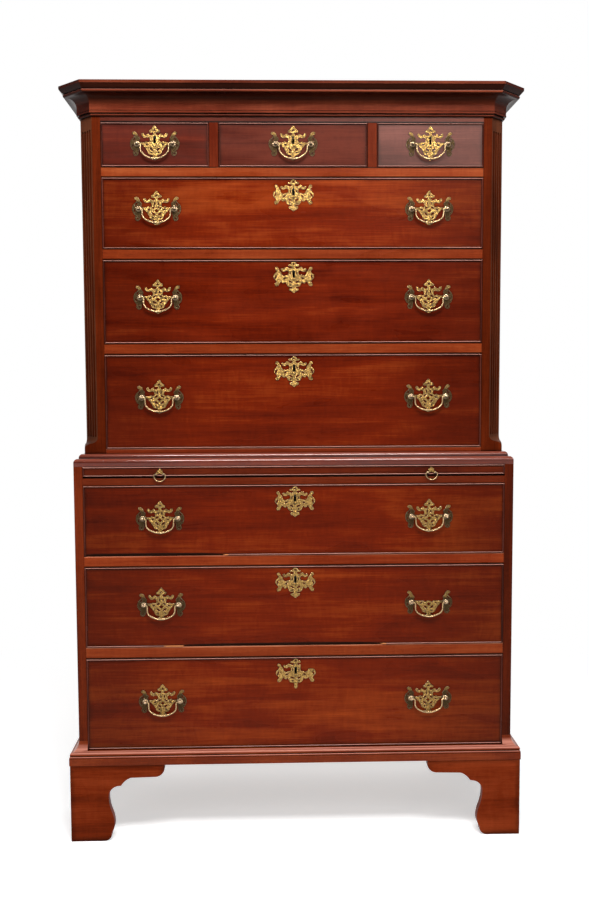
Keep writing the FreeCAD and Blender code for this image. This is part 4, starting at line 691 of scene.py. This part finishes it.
def soften(obj):
    """Small rounds along the arrises, which catch the light."""
    width = next((w for ending, w in SOFTENED.items() if obj.name.endswith(ending)), None)
    if not width:
        return
    mesh = obj.data
    if "custom_normal" in mesh.attributes:
        mesh.attributes.remove(mesh.attributes["custom_normal"])
    mesh.polygons.foreach_set("use_smooth", np.ones(len(mesh.polygons), bool))
    obj.modifiers.new("weld", "NODES").node_group = WELD
    bevel = obj.modifiers.new("bevel", "BEVEL")
    bevel.width = width / 1000
    bevel.segments = ROUND_SEGMENTS
    bevel.limit_method = "ANGLE"
    bevel.angle_limit = math.radians(ARRIS_DEGREES)
    # The castings' short edges would hold back the round of all the others.
    bevel.use_clamp_overlap = "brass" not in obj.name and "fittings" not in obj.name
    bevel.miter_outer = "MITER_ARC"
    weighted = obj.modifiers.new("normals", "WEIGHTED_NORMAL")
    weighted.keep_sharp = False


for index, name in enumerate(sorted(NODES)):
    dress(NODES[name], index)
    soften(NODES[name])

# ---------------------------------------------------------------- camera, light and floor

CAMERA_PLACE = Vector((-0.0687, -2.66655, 1.1463))
PITCH, YAW, ROLL = 0.0763, 0.0283, 0.0045
LENS, SENSOR, CLIP_END = 39.76, 36, 60

# Lamps: place, the point that they face, width, height and power.
LAMPS = {
    "key": ((0.95, -2.9, 2.55), (0, 0, 1.0), 1.4, 1.0, 16),
    "fill": ((-2.7, -1.9, 1.6), (0, 0, 0.9), 1.6, 1.6, 12),
    "strip": ((0.1, -2.1, 3.3), (0, 0, 1.0), 1.6, 0.6, 94),
    "back": ((0, 3.2, 2.6), (0, 0, 0.9), 3.0, 1.6, 40),
}

WHITE, BLACK = (1, 1, 1, 1), (0, 0, 0, 1)
WORLD_FILL = 0.18           # strength of the even light from all around
FRONT_GLOSS = 0.08          # white that the gloss shows towards the front, against 1 behind
GLOSS_TURN = (0.1, 0.6)     # y of a ray's direction where that white starts to rise and is full
FLOOR_HALF = 30
FLOOR_COLOUR, FLOOR_ROUGHNESS = (0.9, 0.9, 0.9, 1), 0.9
FLOOR_FADE = (0.7, 1.8)     # metres from the middle where the floor starts to turn white and is
FLOOR_GLOW = 0.5            # white added to the floor near the chest, where the shadow lies


def photo_camera():
    """Camera that was fitted to the edges of the chest in the photo."""
    cy, sy, cp, sp, cr, sr = (f(v) for v in (YAW, PITCH, ROLL) for f in (math.cos, math.sin))
    turn = Matrix(((cy, -sy, 0), (sy, cy, 0), (0, 0, 1)))
    nod = Matrix(((1, 0, 0), (0, cp, -sp), (0, sp, cp)))
    lean = Matrix(((cr, 0, -sr), (0, 1, 0), (sr, 0, cr)))
    right, ahead, up = lean @ nod @ turn
    data = bpy.data.cameras.new("camera")
    data.lens = LENS
    data.sensor_width = SENSOR
    data.clip_end = CLIP_END
    camera = bpy.data.objects.new("camera", data)
    bpy.context.scene.collection.objects.link(camera)
    axes = Matrix((right, up, -ahead)).transposed()
    camera.matrix_world = Matrix.Translation(CAMERA_PLACE) @ axes.to_4x4()
    bpy.context.scene.camera = camera


def softbox(name, place, target, wide, tall, power):
    """Rectangular lamp that faces a point."""
    data = bpy.data.lights.new(name, "AREA")
    data.shape = "RECTANGLE"
    data.size, data.size_y = wide, tall
    data.energy = power
    lamp = bpy.data.objects.new(name, data)
    bpy.context.scene.collection.objects.link(lamp)
    place = Vector(place)
    turn = (Vector(target) - place).to_track_quat("-Z", "Y")
    lamp.matrix_world = Matrix.Translation(place) @ turn.to_matrix().to_4x4()


def shown(tree):
    """1 for rays that show the background: for those seen straight, in gloss or through glass, and
    for those seen straight alone.
    """
    path = tree.nodes.new("ShaderNodeLightPath")
    total = path.outputs["Is Camera Ray"]
    for ray in ("Is Glossy Ray", "Is Transmission Ray"):
        largest = tree.nodes.new("ShaderNodeMath")
        largest.operation = "MAXIMUM"
        tree.links.new(total, largest.inputs[0])
        tree.links.new(path.outputs[ray], largest.inputs[1])
        total = largest.outputs[0]
    return total, path.outputs["Is Camera Ray"]


def white_world():
    """White studio around the floor, dimmer in its gloss towards the front, with a softer fill."""
    world = bpy.data.worlds.new("world")
    bpy.context.scene.world = world
    world.use_nodes = True
    tree = world.node_tree
    new, link = tree.nodes.new, tree.links.new
    fill, studio = tree.nodes["Background"], new("ShaderNodeBackground")
    for light in (fill, studio):
        light.inputs["Color"].default_value = WHITE
    fill.inputs["Strength"].default_value = WORLD_FILL
    direction = new("ShaderNodeSeparateXYZ")
    link(new("ShaderNodeTexCoord").outputs["Generated"], direction.inputs[0])
    gloss = new("ShaderNodeMapRange")
    gloss.interpolation_type = "SMOOTHSTEP"
    link(direction.outputs[1], gloss.inputs[0])
    for number, socket in zip((*GLOSS_TURN, FRONT_GLOSS, 1), gloss.inputs[1:]):
        socket.default_value = number
    total, straight = shown(tree)
    strength = new("ShaderNodeMath")
    strength.operation = "MAXIMUM"
    link(gloss.outputs[0], strength.inputs[0])
    link(straight, strength.inputs[1])
    link(strength.outputs[0], studio.inputs["Strength"])
    either = new("ShaderNodeMixShader")
    for source, socket in zip((total, fill.outputs[0], studio.outputs[0]), either.inputs):
        link(source, socket)
    link(either.outputs[0], tree.nodes["World Output"].inputs["Surface"])


def pale_floor():
    """White floor that keeps the shadow near the chest and runs out into the white around it."""
    mesh = bpy.data.meshes.new("floor")
    ends = [(x * FLOOR_HALF, y * FLOOR_HALF, 0) for x, y in ((-1, -1), (1, -1), (1, 1), (-1, 1))]
    mesh.from_pydata(ends, [], [(0, 1, 2, 3)])
    floor = bpy.data.objects.new("floor", mesh)
    bpy.context.scene.collection.objects.link(floor)
    r = Recipe("pale_floor")
    seen = shown(r.tree)[0]
    away = r.remap(r.vector("LENGTH", r.place()), *FLOOR_FADE)
    glow = r.math("MULTIPLY", seen, r.remap(away, 0, 1, FLOOR_GLOW, 1, False))
    gone = r.math("MULTIPLY", seen, away)
    mesh.materials.append(r.finish(Base_Color=r.mix(gone, FLOOR_COLOUR, BLACK),
                                   Emission_Color=WHITE, Emission_Strength=glow,
                                   Roughness=FLOOR_ROUGHNESS, Specular_IOR_Level=0.0))


photo_camera()
for name, setting in LAMPS.items():
    softbox(name, *setting)
white_world()
pale_floor()
bpy.context.scene.view_settings.view_transform = "Standard"
